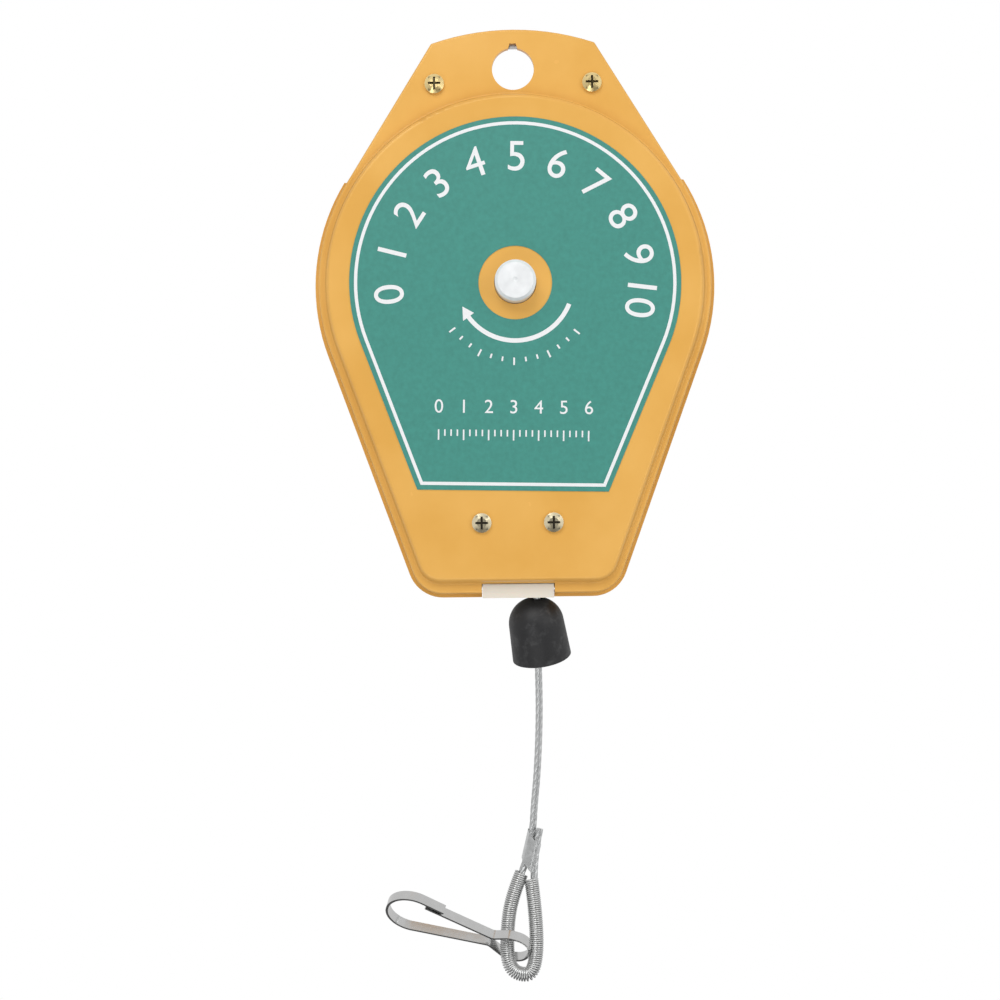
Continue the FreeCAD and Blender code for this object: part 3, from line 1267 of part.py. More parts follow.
def arc_radius(before, corner, after):
    into, out = corner - before, after - corner
    return 0.45 * min(into.Length, out.Length) / math.tan(into.getAngle(out) / 2)


# ---------------------------------------------------------------- snap hook

HOOK_AT = Vector(-55.0, 14.5, -340.8)
HOOK_ROTATION = Rotation(Vector(0, 1, 0), d.hook_slope) * Rotation(Vector(1, 0, 0), d.hook_tilt)
HOOK_END = 3.2       # tongue's root beyond the neck's bend
NECK = Vector(44.8, 3.3, 0)
EYE_TOP = Vector(51.0, 7.0, 0)
TONGUE_ROOT = NECK + (EYE_TOP - NECK).normalize() * HOOK_END
HOOK_PATH = [(22.4, 10.5), (-0.2, 16.5), (-0.2, -9.9), (44.2, -1.9), (52.6, -7.7), (61.0, -7.8), (61.0, 7.6),
             EYE_TOP, TONGUE_ROOT]
HOOK_RADII = [d.nose_bend, d.nose_bend, d.neck_bend, 5.0, d.eye_bend, d.eye_bend, 5.0]


def strip_piece(label, points, radii):
    """Strip bent along a path, as wide as the hook."""
    piece = body(label)
    drawing = sketch(piece, FRONT)
    draw(drawing, strip_outline(points, radii, d.strip_metal))
    pad(piece, drawing, "Sizes.strip_width", middle=True)
    piece.Placement = Placement(HOOK_AT, HOOK_ROTATION)


inner_run()
rope_and_bumper()
ferrule_and_loop()
strip_piece("snap_hook", HOOK_PATH, HOOK_RADII)
strip_piece("snap_hook_tongue", [TONGUE_ROOT, NECK, (14.6, 10.4)], [d.neck_bend])


# ---------------------------------------------------------------- checks and export

doc.recompute()
failed = [piece.Name for piece in doc.Objects if "Invalid" in piece.State or "Error" in piece.State]
failed += [piece.Label for piece in nodes if piece.Shape.isNull() or not piece.Shape.isValid()]
if failed:
    raise RuntimeError("failed: " + ", ".join(failed))

os.makedirs("parts", exist_ok=True)
for piece in nodes:
    piece.Shape.exportStep(os.path.join("parts", piece.Label + ".step"))
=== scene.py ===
"""Looks of the spring tool balancer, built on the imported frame. Sizes are in metres."""

import math

import bmesh
import bpy
import numpy as np
from bpy.props import FloatProperty, FloatVectorProperty, IntProperty, PointerProperty
from mathutils import Matrix, Vector


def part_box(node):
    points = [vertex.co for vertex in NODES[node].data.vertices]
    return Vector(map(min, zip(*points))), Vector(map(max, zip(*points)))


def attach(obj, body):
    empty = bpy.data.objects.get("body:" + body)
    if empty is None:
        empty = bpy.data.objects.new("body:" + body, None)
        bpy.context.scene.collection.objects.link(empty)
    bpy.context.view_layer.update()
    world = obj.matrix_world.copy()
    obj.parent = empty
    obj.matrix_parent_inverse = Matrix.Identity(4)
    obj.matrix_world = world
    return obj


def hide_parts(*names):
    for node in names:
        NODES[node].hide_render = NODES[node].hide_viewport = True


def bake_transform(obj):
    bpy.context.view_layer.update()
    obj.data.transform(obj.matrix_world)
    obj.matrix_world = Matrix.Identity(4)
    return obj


bl_info = {
    "name": "Spring Tool Balancer",
    "version": (1, 0, 0),
    "blender": (4, 5, 0),
    "location": "View3D > Sidebar > Balancer",
    "description": "Dresses the packed frame of a spring tool balancer",
    "category": "Object",
}

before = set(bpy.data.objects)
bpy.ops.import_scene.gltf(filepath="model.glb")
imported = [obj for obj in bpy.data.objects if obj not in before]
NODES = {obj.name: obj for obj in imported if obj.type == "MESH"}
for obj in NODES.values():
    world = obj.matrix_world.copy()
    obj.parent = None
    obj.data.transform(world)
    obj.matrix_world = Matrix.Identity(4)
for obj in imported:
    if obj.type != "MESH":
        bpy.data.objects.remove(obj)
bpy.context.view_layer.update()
MERGE_DISTANCE = 1e-7
# Depth of the relief in the surfaces, on the pieces and on the print.
RELIEF = 0.0002
FINE_RELIEF = 0.0001

# Route of the rope: out of the guide, through the ferrule, round the loop and back.
ROUTE = [
    (0.00760, 0.00800, -0.21300), (0.00800, 0.01550, -0.23600), (0.00850, 0.02000, -0.26200),
    (0.00740, 0.02100, -0.28600), (0.00590, 0.02230, -0.30050), (0.00531, 0.02290, -0.31064),
    (0.00321, 0.02290, -0.31939), (0.00158, 0.02290, -0.32620), (-0.00360, 0.01956, -0.33750),
    (-0.00600, 0.01680, -0.35050), (-0.00570, 0.01298, -0.36845), (0.00900, 0.01298, -0.36845),
    (0.00392, 0.02150, -0.32779), (0.00812, 0.02150, -0.31029),
]
ROPE_STEP = 0.00035
# The sleeve covers these points of the route, from one leg of the loop to the other.
SLEEVE_START = (0.00037, 0.02212, -0.32883)
SLEEVE_END = (0.00435, 0.02078, -0.33119)
SLEEVE_CORNERS = slice(8, 12)
SLEEVE_TURN_STEPS = 18

# Finish of every node of the frame.
NODE_MATERIALS = {
    "yellow_paint": ("front_cover", "rear_tub"),
    "label_foil": ("label_plate",),
    "guide_nylon": ("rope_guide",),
    "yellow_zinc": ("top_screws", "top_nuts"),
    "pale_zinc": ("bottom_screws", "bottom_nuts", "nut_washers"),
    "shaft_zinc": ("shaft",),
    "bright_zinc": ("pawl_pin", "spring_cover_screws", "rope_stop", "ferrule"),
    "bearing_bronze": ("front_bush", "rear_bush", "drum_bush_front", "drum_bush_rear"),
    "plain_steel": ("thrust_washer_front", "thrust_washer_rear", "spring_cover", "rope_anchor",
                    "ratchet_wheel", "pawl"),
    "spring_steel": ("pawl_spring", "mainspring", "shaft_circlip"),
    "drum_aluminium": ("rope_drum",),
    "rope_steel": ("rope_inner_run", "rope_on_drum"),
    "bumper_rubber": ("rubber_bumper",),
    "hook_strip": ("snap_hook", "snap_hook_tongue"),
}
# Metal, its colour, tones from dark to light, least and most roughness, grain and relief.
METALS = (
    ("bright_zinc", "zinc", (0.78, 1.12), (0.24, 0.42), 600, 0.06),
    ("hook_strip", "hook", (0.90, 1.08), (0.10, 0.18), 300, 0.02),
    ("bearing_bronze", "bronze", (0.85, 1.10), (0.28, 0.45), 420, 0.06),
    ("plain_steel", "steel", (0.80, 1.12), (0.30, 0.50), 300, 0.06),
    ("spring_steel", "spring", (0.80, 1.15), (0.28, 0.46), 300, 0.06),
    ("drum_aluminium", "drum", (0.88, 1.08), (0.30, 0.48), 260, 0.06),
    ("rope_steel", "rope", (0.62, 1.14), (0.30, 0.46), 1500, 0.10),
    ("sleeve_wire", "sleeve", (0.74, 1.12), (0.24, 0.40), 900, 0.06),
)

CAMERA_PLACE = (-0.0070, -0.7060, -0.1735)
CAMERA_TILT = math.radians(90.0)
CAMERA_ROLL = math.radians(0.6)
CAMERA_SENSOR = 36.0
CAMERA_LENS = 63.0
CAMERA_RANGE = (0.01, 20.0)
# Lamp, its place, its width and height, and its power; all of them point at LIGHT_AIM.
LIGHTS = (
    ("key", (-0.35, -1.10, 0.75), (0.9, 0.9), 9.0),
    ("fill", (0.85, -0.95, 0.10), (0.8, 1.2), 5.0),
    ("low", (-0.25, -0.95, -0.85), (1.0, 0.6), 3.5),
)
LIGHT_AIM = (0.0, 0.0, -0.15)
ROOM_COLOUR = (0.95, 0.97, 1.0)
ROOM_STRENGTH = 0.50
MIRRORED_COLOUR = (0.8, 0.8, 0.8)
# Darkest strength in reflections, and the directions where it starts and where it ends.
FRONT_SHADE = (0.22, -1.0, -0.25)
BELOW_SHADE = (0.12, -0.95, -0.35)


# ---------------------------------------------------------------- properties

def length(name, description, default):
    return FloatProperty(name=name, description=description, default=default, min=0.0,
                         precision=5, unit="LENGTH")


def degrees(name, description, default):
    return FloatProperty(name=name, description=description, default=math.radians(default),
                         subtype="ANGLE")


def whole(name, description, default):
    return IntProperty(name=name, description=description, default=default, min=2)


def colour(name, description, default):
    return FloatVectorProperty(name=name, description=description, default=default, size=3,
                               min=0.0, max=1.0, subtype="COLOR")


class BALANCER_PG_colours(bpy.types.PropertyGroup):
    """Colours of the paint, the print, the plates and the bare metals"""
    paint: colour("Paint", "Housing paint", (0.785, 0.432, 0.108))
    paint_deep: colour("Paint, deep", "Paint where the coat is thick", (0.730, 0.384, 0.084))
    foil: colour("Label", "Printed foil of the label", (0.042, 0.246, 0.200))
    print: colour("Print", "White print on the label", (0.800, 0.800, 0.800))
    nylon: colour("Guide", "Nylon of the rope guide", (0.740, 0.680, 0.580))
    rubber: colour("Rubber", "Rubber of the bumper", (0.010, 0.010, 0.011))
    dust: colour("Dust", "Dust on the rubber", (0.055, 0.055, 0.056))
    zinc: colour("Bright zinc", "Bright zinc plate", (0.680, 0.690, 0.690))
    yellow: colour("Yellow zinc", "Yellow passivated zinc plate", (0.900, 0.700, 0.330))
    pale: colour("Pale zinc", "Zinc plate of the lower screws", (0.860, 0.760, 0.520))
    hook: colour("Hook", "Polished strip of the hook", (0.620, 0.620, 0.615))
    rope: colour("Rope", "Galvanised rope wire", (0.620, 0.630, 0.630))
    sleeve: colour("Sleeve", "Wire of the coil sleeve", (0.640, 0.645, 0.640))
    bronze: colour("Bronze", "Bushes", (0.620, 0.420, 0.180))
    steel: colour("Steel", "Plain steel of the mechanism", (0.460, 0.460, 0.460))
    spring: colour("Spring steel", "Blued steel of the springs", (0.180, 0.200, 0.240))
    drum: colour("Aluminium", "Cast aluminium of the drum", (0.660, 0.670, 0.680))


class BALANCER_PG_sizes(bpy.types.PropertyGroup):
    """Sizes of the label and its print, the rope, its sleeve, the screws and the hole"""
    shaft_drop: length("Shaft drop", "Hanging hole down to the shaft", 0.0866)
    label_radius: length("Label radius", "Round edge of the label", 0.0664)
    label_half: length("Label half width", "Half of its lower edge", 0.0383)
    label_low: length("Label drop", "Shaft down to its lower edge", 0.0832)
    label_turn: degrees("Label turn", "The label sits slightly askew", 1.2)
    border_inset: length("Border inset", "Label edge to its white line", 0.0019)
    border_width: length("Border width", "White line of the label", 0.0013)
    print_height: length("Print thickness", "Ink over the foil", 0.00005)
    arrow_radius: length("Arrow radius", "Curved arrow round the shaft", 0.0232)
    arrow_width: length("Arrow width", "Line of the curved arrow", 0.0018)
    arrow_head: length("Arrow head", "Width of the arrow's head", 0.0054)
    arrow_start: degrees("Arrow start", "Where the arrow's line starts", -21.0)
    arrow_end: degrees("Arrow end", "Where the line meets the head", -143.0)
    arrow_tip: degrees("Arrow tip", "Tip of the arrow's head", -155.0)
    scale_radius: length("Scale radius", "Inner ends of the tension scale's marks", 0.0300)
    scale_start: degrees("Scale start", "First mark of the tension scale", -38.0)
    scale_step: degrees("Scale step", "From one mark to the next, clockwise", 8.7)
    scale_count: whole("Scale marks", "Marks of the tension scale", 13)
    scale_long: length("Long marks", "Length of every third mark of the scale", 0.0030)
    scale_short: length("Short marks", "Length of the scale's other marks", 0.0018)
    scale_width: length("Mark width", "Width of the scale's marks", 0.0007)
    dial_radius: length("Dial radius", "Plain numbers of the upper dial", 0.0500)
    dial_start: degrees("Dial start", "First number of the upper dial", 186.0)
    dial_end: degrees("Dial end", "Last number of the upper dial", -6.0)
    dial_count: whole("Dial numbers", "Numbers of the upper dial", 11)
    digit_height: length("Digit height", "Height of the dial's numbers", 0.0125)
    row_count: whole("Row numbers", "Numbers of the lower row", 7)
    row_height: length("Row height", "Height of the lower row's numbers", 0.0056)
    row_low: length("Row drop", "Shaft down to the lower row", 0.0500)
    row_spacing: length("Row spacing", "From one number of the row to the next", 0.0100)
    row_marks_low: length("Row marks' drop", "Row's numbers down to its marks", 0.0090)
    row_long: length("Row's long marks", "Length of the marks under the numbers", 0.0042)
    row_short: length("Row's short marks", "Length of the marks between them", 0.0026)
    row_width: length("Row's mark width", "Width of the row's marks", 0.0006)
    rope_size: length("Rope", "Diameter of the wire rope", 0.003)
    rope_lay: length("Lay", "Length of one turn of a strand", 0.021)
    recess_depth: length("Recess", "Depth of the screws' cross recess", 0.0013)
    recess_reach: length("Recess reach", "From a screw's middle to the ends of its cross", 0.0023)
    head_size: length("Screw heads", "Diameter of the screws' heads", 0.0078)
    sleeve_size: length("Sleeve", "Outside of the coil sleeve", 0.006)
    sleeve_wire: length("Sleeve wire", "Wire of the coil sleeve", 0.00082)
    sleeve_pitch: length("Sleeve pitch", "Spacing of its turns", 0.00084)
    hole_radius: length("Hanging hole", "Radius of the hanging hole", 0.0085)
    notch_width: length("Notch width", "Notch of the hanging hole, at the hole's edge", 0.0036)
    notch_top: length("Notch top", "Width of the notch at its top", 0.00252)
    notch_height: length("Notch height", "Notch above the hole's edge", 0.0018)
    # The notch piece is a dark steel plate laid on the rear sheet behind the notch of the hanging
    # hole.
    notch_sink: length("Notch depth", "Sheet's front back to the worn edge", 0.0002)
    notch_metal: length("Notch metal", "Thickness of the worn edge", 0.0008)
    strands: whole("Strands", "Strands of the rope", 6)


def sizes():
    return bpy.context.scene.balancer_sizes


def colours():
    return bpy.context.scene.balancer_colours


# ---------------------------------------------------------------- meshes

def piece(name, mesh, body, material):
    """Object at the origin that rides on a CAD body."""
    obj = bpy.data.objects.new(name, mesh)
    bpy.context.scene.collection.objects.link(obj)
    mesh.materials.clear()
    mesh.materials.append(bpy.data.materials[material])
    if body:
        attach(obj, body)
    return obj


def finished(bm, name):
    """Mesh from a bmesh, its doubles merged and its faces outwards."""
    bmesh.ops.remove_doubles(bm, verts=bm.verts, dist=MERGE_DISTANCE)
    bmesh.ops.recalc_face_normals(bm, faces=bm.faces)
    mesh = bpy.data.meshes.new(name)
    bm.to_mesh(mesh)
    bm.free()
    return mesh


def thicken(bm, faces, thickness):
    """Gives flat faces a thickness towards the back, or towards the front if it is negative."""
    made = bmesh.ops.extrude_face_region(bm, geom=faces)
    moved = [item for item in made["geom"] if isinstance(item, bmesh.types.BMVert)]
    bmesh.ops.translate(bm, verts=moved, vec=(0, thickness, 0))


def mesh_of(data):
    """Mesh that a curve or a text makes; the curve or text itself is removed."""
    holder = bpy.data.objects.new(data.name, data)
    bpy.context.scene.collection.objects.link(holder)
    bpy.context.view_layer.update()
    ready = holder.evaluated_get(bpy.context.evaluated_depsgraph_get())
    mesh = bpy.data.meshes.new_from_object(ready)
    bpy.data.objects.remove(holder)
    bpy.data.curves.remove(data)
    return mesh


def swept(name, points, radius=0.0, detail=0, tilts=None, section=None):
    """Mesh swept along a poly curve, round unless a section curve is given."""
    data = bpy.data.curves.new(name + "_line", "CURVE")
    data.dimensions = "3D"
    data.use_fill_caps = True
    line = data.splines.new("POLY")
    line.points.add(len(points) - 1)
    for k, point in enumerate(points):
        line.points[k].co = (*point, 1)
        if tilts is not None:
            line.points[k].tilt = tilts[k]
    if section is None:
        data.bevel_depth = radius
        data.bevel_resolution = detail
    else:
        data.bevel_mode = "OBJECT"
        data.bevel_object = section
    mesh = mesh_of(data)
    mesh.name = name
    for face in mesh.polygons:
        face.use_smooth = True
    return mesh


def spline_points(controls, step):
    """Even points along the order-3 NURBS curve of these control points, and its length."""
    data = bpy.data.curves.new("route", "CURVE")
    data.dimensions = "3D"
    data.resolution_u = 64
    line = data.splines.new("NURBS")
    line.points.add(len(controls) - 1)
    for point, control in zip(line.points, controls):
        point.co = (*control, 1)
    line.order_u = 3
    line.use_endpoint_u = True
    mesh = mesh_of(data)
    dense = np.array([vertex.co for vertex in mesh.vertices])
    bpy.data.meshes.remove(mesh)
    far = np.concatenate([[0], np.cumsum(np.linalg.norm(np.diff(dense, axis=0), axis=1))])
    count = int(round(far[-1] / step))
    at = np.linspace(0, far[-1], count + 1)
    even = np.column_stack([np.interp(at, far, dense[:, axis]) for axis in range(3)])
    return [Vector(point) for point in even], far[-1]


def normals_along(points):
    """Two normals of the line at each point, carried without twist."""
    tangents = []
    for k in range(len(points)):
        before, after = points[max(k - 1, 0)], points[min(k + 1, len(points) - 1)]
        tangents.append((after - before).normalized())
    normal = tangents[0].orthogonal().normalized()
    found = []
    for tangent in tangents:
        normal = (normal - tangent * normal.dot(tangent)).normalized()
        found.append((normal, tangent.cross(normal)))
    return found


# ---------------------------------------------------------------- materials

class NodeWork:
    """Short helpers for the nodes of one tree."""

    def __init__(self, tree):
        self.nodes = tree.nodes
        self.links = tree.links
        self.nodes.clear()

    def feed(self, socket, value):
        """Links a socket to another one, or sets it; a colour gets its alpha."""
        if isinstance(value, bpy.types.NodeSocket):
            self.links.new(value, socket)
        elif hasattr(value, "__len__"):
            socket.default_value = (*value, 1)[:len(socket.default_value)]
        else:
            socket.default_value = value

    def feed_all(self, node, values):
        """Feeds the node's inputs by name, with underscores for spaces."""
        for key, value in values.items():
            self.feed(node.inputs[key.replace("_", " ")], value)

    def add(self, kind, settings=None, **values):
        """New node with its settings made first, because they choose its sockets."""
        node = self.nodes.new("ShaderNode" + kind)
        for key, value in (settings or {}).items():
            setattr(node, key, value)
        self.feed_all(node, values)
        return node

    def ramp(self, source, low, high, start=0.0, end=1.0):
        """Goes from low to high while the source goes from start to end."""
        node = self.add("MapRange", Value=source, From_Min=start, From_Max=end,
                        To_Min=low, To_Max=high)
        return node.outputs["Result"]

    def maths(self, operation, *terms):
        node = self.add("Math", {"operation": operation})
        for socket, term in zip(node.inputs, terms):
            self.feed(socket, term)
        return node.outputs["Value"]

    def axes(self, place):
        return self.add("SeparateXYZ", Vector=place).outputs

    def mix_shaders(self, factor, first, second):
        node = self.add("MixShader", Fac=factor)
        self.feed(node.inputs[1], first)
        self.feed(node.inputs[2], second)
        return node.outputs["Shader"]


class Finish(NodeWork):
    """Material with a principled surface and short helpers for its patterns."""

    def __init__(self, name):
        material = bpy.data.materials.get(name) or bpy.data.materials.new(name)
        material.use_nodes = True
        super().__init__(material.node_tree)
        self.surface = self.add("BsdfPrincipled")
        self.add("OutputMaterial", Surface=self.surface.outputs["BSDF"])
        self.place = self.add("TexCoord").outputs["Object"]

    def set(self, **values):
        self.feed_all(self.surface, values)

    def noise(self, scale, detail=3.0, rough=0.5):
        node = self.add("TexNoise", Scale=scale, Detail=detail, Roughness=rough, Vector=self.place)
        return node.outputs["Fac"]

    def rings(self, scale, distortion, centre):
        """Rings about the Y axis through a centre."""
        centred = self.add("Mapping", Location=[-value for value in centre], Vector=self.place)
        node = self.add("TexWave", {"wave_type": "RINGS", "rings_direction": "Y"}, Scale=scale,
                        Distortion=distortion, Vector=centred.outputs["Vector"])
        return node.outputs["Fac"]

    def blend(self, factor, first, second):
        node = self.add("Mix", {"data_type": "RGBA"}, Factor=factor, A=first, B=second)
        return node.outputs["Result"]

    def bump(self, height, strength, distance):
        node = self.add("Bump", Strength=strength, Distance=distance, Height=height)
        self.set(Normal=node.outputs["Normal"])


def shaded(base, amount):
    """Colour made darker or lighter by a factor."""
    return tuple(min(max(channel * amount, 0.0), 1.0) for channel in base)


def yellow_paint(c):
    finish = Finish("yellow_paint")
    cloud = finish.ramp(finish.noise(scale=28, detail=4), 0, 1, start=0.35, end=0.65)
    finish.set(Base_Color=finish.blend(cloud, c.paint, c.paint_deep),
               Roughness=finish.ramp(finish.noise(scale=90), low=0.20, high=0.30),
               Coat_Weight=0.12, Coat_Roughness=0.08, Specular_IOR_Level=0.42,
               Specular_Tint=(1.0, 0.72, 0.36))
    finish.bump(finish.noise(scale=260, detail=2), strength=0.03, distance=RELIEF)


def label_foil(c):
    finish = Finish("label_foil")
    mottle = finish.ramp(finish.noise(scale=520, detail=4, rough=0.6), 0, 1, start=0.3, end=0.7)
    finish.set(Base_Color=finish.blend(mottle, shaded(c.foil, 0.94), shaded(c.foil, 1.10)),
               Roughness=finish.ramp(finish.noise(scale=900), low=0.42, high=0.56))
    finish.bump(finish.noise(scale=1500, detail=2), strength=0.08, distance=FINE_RELIEF)


def label_ink(c):
    finish = Finish("label_ink")
    grain = finish.noise(scale=1400)
    finish.set(Base_Color=finish.blend(grain, shaded(c.print, 0.95), shaded(c.print, 1.04)),
               Roughness=0.5)
    finish.bump(grain, strength=0.06, distance=FINE_RELIEF)


def guide_nylon(c):
    finish = Finish("guide_nylon")
    cloud = finish.noise(scale=60, detail=4)
    finish.set(Base_Color=finish.blend(cloud, shaded(c.nylon, 0.94), shaded(c.nylon, 1.05)),
               Roughness=finish.ramp(finish.noise(scale=240), low=0.38, high=0.52),
               Subsurface_Weight=0.08, Subsurface_Scale=0.002)
    finish.bump(finish.noise(scale=700), strength=0.12, distance=RELIEF)


def bumper_rubber(c):
    finish = Finish("bumper_rubber")
    dust = finish.ramp(finish.noise(scale=260, detail=6, rough=0.65), 0, 1, start=0.52, end=0.8)
    finish.set(Base_Color=finish.blend(dust, c.rubber, c.dust),
               Roughness=finish.ramp(finish.noise(scale=480, detail=4), low=0.42, high=0.62))
    finish.bump(finish.noise(scale=1800, detail=4, rough=0.7), strength=0.22, distance=RELIEF)


def shaft_zinc(c):
    """Turned end: fine rings about the shaft's axis under the plate."""
    finish = Finish("shaft_zinc")
    turned = finish.rings(scale=900, distortion=0.6, centre=(0, 0, -sizes().shaft_drop))
    cloud = finish.noise(scale=420, detail=5, rough=0.6)
    # Painted reflection: the zinc is made 1.24 to 1.40 times lighter than its colour, for the lamp
    # that the end reflects; the turned rings are real.
    finish.set(Base_Color=finish.blend(cloud, shaded(c.zinc, 1.24), shaded(c.zinc, 1.40)),
               Roughness=finish.ramp(cloud, 0.30, 0.46, start=0.3, end=0.7), Metallic=0.35)
    finish.bump(turned, strength=0.12, distance=FINE_RELIEF)


def recess_mask(finish, node):
    """Painted shade: one inside the cross recesses of a node's two screws, seen from the front,
    else nought.
    """
    depth, reach = sizes().recess_depth, sizes().recess_reach
    half = sizes().head_size / 2
    low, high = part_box(node)
    middle = (low.z + high.z) / 2
    axes = finish.axes(finish.place)
    offsets = [finish.maths("ABSOLUTE", finish.maths("SUBTRACT", axes["X"], x))
               for x in (low.x + half, high.x - half)]
    nearest = finish.maths("MINIMUM", *offsets)
    fades = (
        finish.ramp(axes["Y"], 0, 1, start=low.y + 0.4 * depth, end=low.y + 0.8 * depth),
        finish.ramp(axes["Y"], 1, 0, start=low.y + 2.2 * depth, end=low.y + 2.4 * depth),
        finish.ramp(nearest, 1, 0, start=reach, end=1.1 * reach),
        finish.ramp(axes["Z"], 1, 0, start=middle + 1.1 * reach, end=middle + 1.3 * reach),
        finish.ramp(axes["Z"], 0, 1, start=middle - 1.3 * reach, end=middle - 1.1 * reach),
    )
    mask = fades[0]
    for fade in fades[1:]:
        mask = finish.maths("MULTIPLY", mask, fade)
    return mask


def screw_plate(name, base, node):
    """Plated screws of a node, with painted shade in their cross recesses."""
    finish = Finish(name)
    cloud = finish.noise(scale=260)
    plate = finish.blend(cloud, shaded(base, 0.92), shaded(base, 1.12))
    # Painted shade: inside the recesses the plate's colour falls to 0.12 of its tone.
    finish.set(Base_Color=finish.blend(recess_mask(finish, node), plate, shaded(base, 0.12)),
               Roughness=finish.ramp(cloud, 0.16, 0.28, start=0.3, end=0.7), Metallic=0.9)
    finish.bump(cloud, strength=0.05, distance=RELIEF)


def metal(name, base, tones, rough, grain, relief):
    """Plated or bare metal with tone, roughness and fine relief from one grain."""
    finish = Finish(name)
    lines = finish.noise(scale=grain, detail=4, rough=0.6)
    finish.set(Base_Color=finish.blend(lines, shaded(base, tones[0]), shaded(base, tones[1])),
               Roughness=finish.ramp(lines, *rough, start=0.3, end=0.7), Metallic=1.0)
    finish.bump(lines, strength=relief, distance=RELIEF)
    return finish


def make_finishes():
    c = colours()
    for maker in (yellow_paint, label_foil, label_ink, guide_nylon, bumper_rubber, shaft_zinc):
        maker(c)
    screw_plate("yellow_zinc", c.yellow, "top_screws")
    screw_plate("pale_zinc", c.pale, "bottom_screws")
    metals = {row[0]: metal(row[0], getattr(c, row[1]), *row[2:]) for row in METALS}
    metals["rope_steel"].set(Coat_Weight=0.4, Coat_Roughness=0.2)


def dress_nodes():
    """Gives every CAD node its finish."""
    for material, names in NODE_MATERIALS.items():
        for name in names:
            for held in NODES[name].material_slots:
                held.material = bpy.data.materials[material]


class BALANCER_OT_finishes(bpy.types.Operator):
    """Makes the materials and gives them to the CAD nodes"""
    bl_idname = "balancer.finishes"
    bl_label = "Finishes"

    def execute(self, context):
        make_finishes()
        dress_nodes()
        return {"FINISHED"}


# ---------------------------------------------------------------- rope

def strand_section(count, radius):
    """Closed section curve: round strands side by side, with grooves between them."""
    data = bpy.data.curves.new("strands", "CURVE")
    data.dimensions = "2D"
    line = data.splines.new("POLY")
    per_strand = 6
    total = count * per_strand
    line.points.add(total - 1)
    groove, fullness = 0.17 * radius, 0.6
    for k in range(total):
        angle = 2 * math.pi * k / total
        reach = radius - groove + groove * abs(math.cos(angle * count / 2)) ** fullness
        line.points[k].co = (reach * math.cos(angle), reach * math.sin(angle), 0, 1)
    line.use_cyclic_u = True
    section = bpy.data.objects.new("strands", data)
    bpy.context.scene.collection.objects.link(section)
    return section


class BALANCER_OT_sleeve(bpy.types.Operator):
    """Close-wound wire sleeve round the loop"""
    bl_idname = "balancer.sleeve"
    bl_label = "Coil sleeve"

    def execute(self, context):
        s = sizes()
        controls = [SLEEVE_START] + ROUTE[SLEEVE_CORNERS] + [SLEEVE_END]
        line, _ = spline_points(controls, s.sleeve_pitch / SLEEVE_TURN_STEPS)
        radius = (s.sleeve_size - s.sleeve_wire) / 2
        wound = []
        for k, (point, (normal, across)) in enumerate(zip(line, normals_along(line))):
            angle = 2 * math.pi * k / SLEEVE_TURN_STEPS
            wound.append(point + (normal * math.cos(angle) + across * math.sin(angle)) * radius)
        mesh = swept("sleeve_coil", wound, radius=s.sleeve_wire / 2, detail=2)
        coil = piece("sleeve_coil", mesh, "rope_end", "sleeve_wire")
        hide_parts("loop_sleeve")
        return {"FINISHED"}


class BALANCER_OT_rope(bpy.types.Operator):
    """Stranded rope from the guide through the ferrule and round the loop"""
    bl_idname = "balancer.rope"
    bl_label = "Wire rope"

    def execute(self, context):
        s = sizes()
        line, far = spline_points(ROUTE, ROPE_STEP)
        turn = 2 * math.pi * far / s.rope_lay
        tilts = [turn * k / (len(line) - 1) for k in range(len(line))]
        section = strand_section(s.strands, s.rope_size / 2)
        mesh = swept("rope", line, tilts=tilts, section=section)
        bpy.data.objects.remove(section)
        rope = piece("rope", mesh, None, "rope_steel")
        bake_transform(rope)
        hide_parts("wire_rope", "loop_rope")
        return {"FINISHED"}


# ---------------------------------------------------------------- hanging hole

class BALANCER_OT_notch(bpy.types.Operator):
    """Dark steel plate on the rear sheet, seen through the notch of the hanging hole"""
    bl_idname = "balancer.notch"
    bl_label = "Hole notch"

    def execute(self, context):
        s = sizes()
        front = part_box("rear_tub")[0].y + s.notch_sink
        low, high = s.hole_radius, s.hole_radius + s.notch_height
        wide, narrow = s.notch_width / 2, s.notch_top / 2
        bm = bmesh.new()
        face = bm.faces.new([bm.verts.new((x, front, z)) for x, z in (
            (-wide, low), (wide, low), (narrow, high), (-narrow, high))])
        thicken(bm, [face], s.notch_metal)
        piece("hole_notch", finished(bm, "hole_notch"), "housing", "plain_steel")
        return {"FINISHED"}


# ---------------------------------------------------------------- label print

def on_label(x, z):
    """Point of the label's face, from the shaft's axis, turned as the label is."""
    s = sizes()
    turn = s.label_turn
    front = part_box("label_plate")[0].y
    return Vector((x * math.cos(turn) + z * math.sin(turn), front,
                   z * math.cos(turn) - x * math.sin(turn) - s.shaft_drop))


def around(radius, angle):
    """Place at a radius and an angle about the shaft."""
    return radius * math.cos(angle), radius * math.sin(angle)


def flat_face(bm, corners):
    bm.faces.new([bm.verts.new(on_label(x, z)) for x, z in corners])


def print_mark(bm, foot, way, tall, width):
    """Straight mark from its foot along a unit direction."""
    foot, way = Vector(foot), Vector(way)
    side = Vector((-way.y, way.x)) * width / 2
    tip = foot + way * tall
    flat_face(bm, [foot + side, tip + side, tip - side, foot - side])


def label_piece(bm, name):
    """Piece of the label's print from a bmesh."""
    piece(name, finished(bm, name), "housing", "label_ink")


def label_corner_angle():
    """Angle about the shaft where a slanted side touches the round edge."""
    s = sizes()
    reach = math.hypot(s.label_half, s.label_low)
    return math.atan2(-s.label_low, s.label_half) + math.acos(s.label_radius / reach)


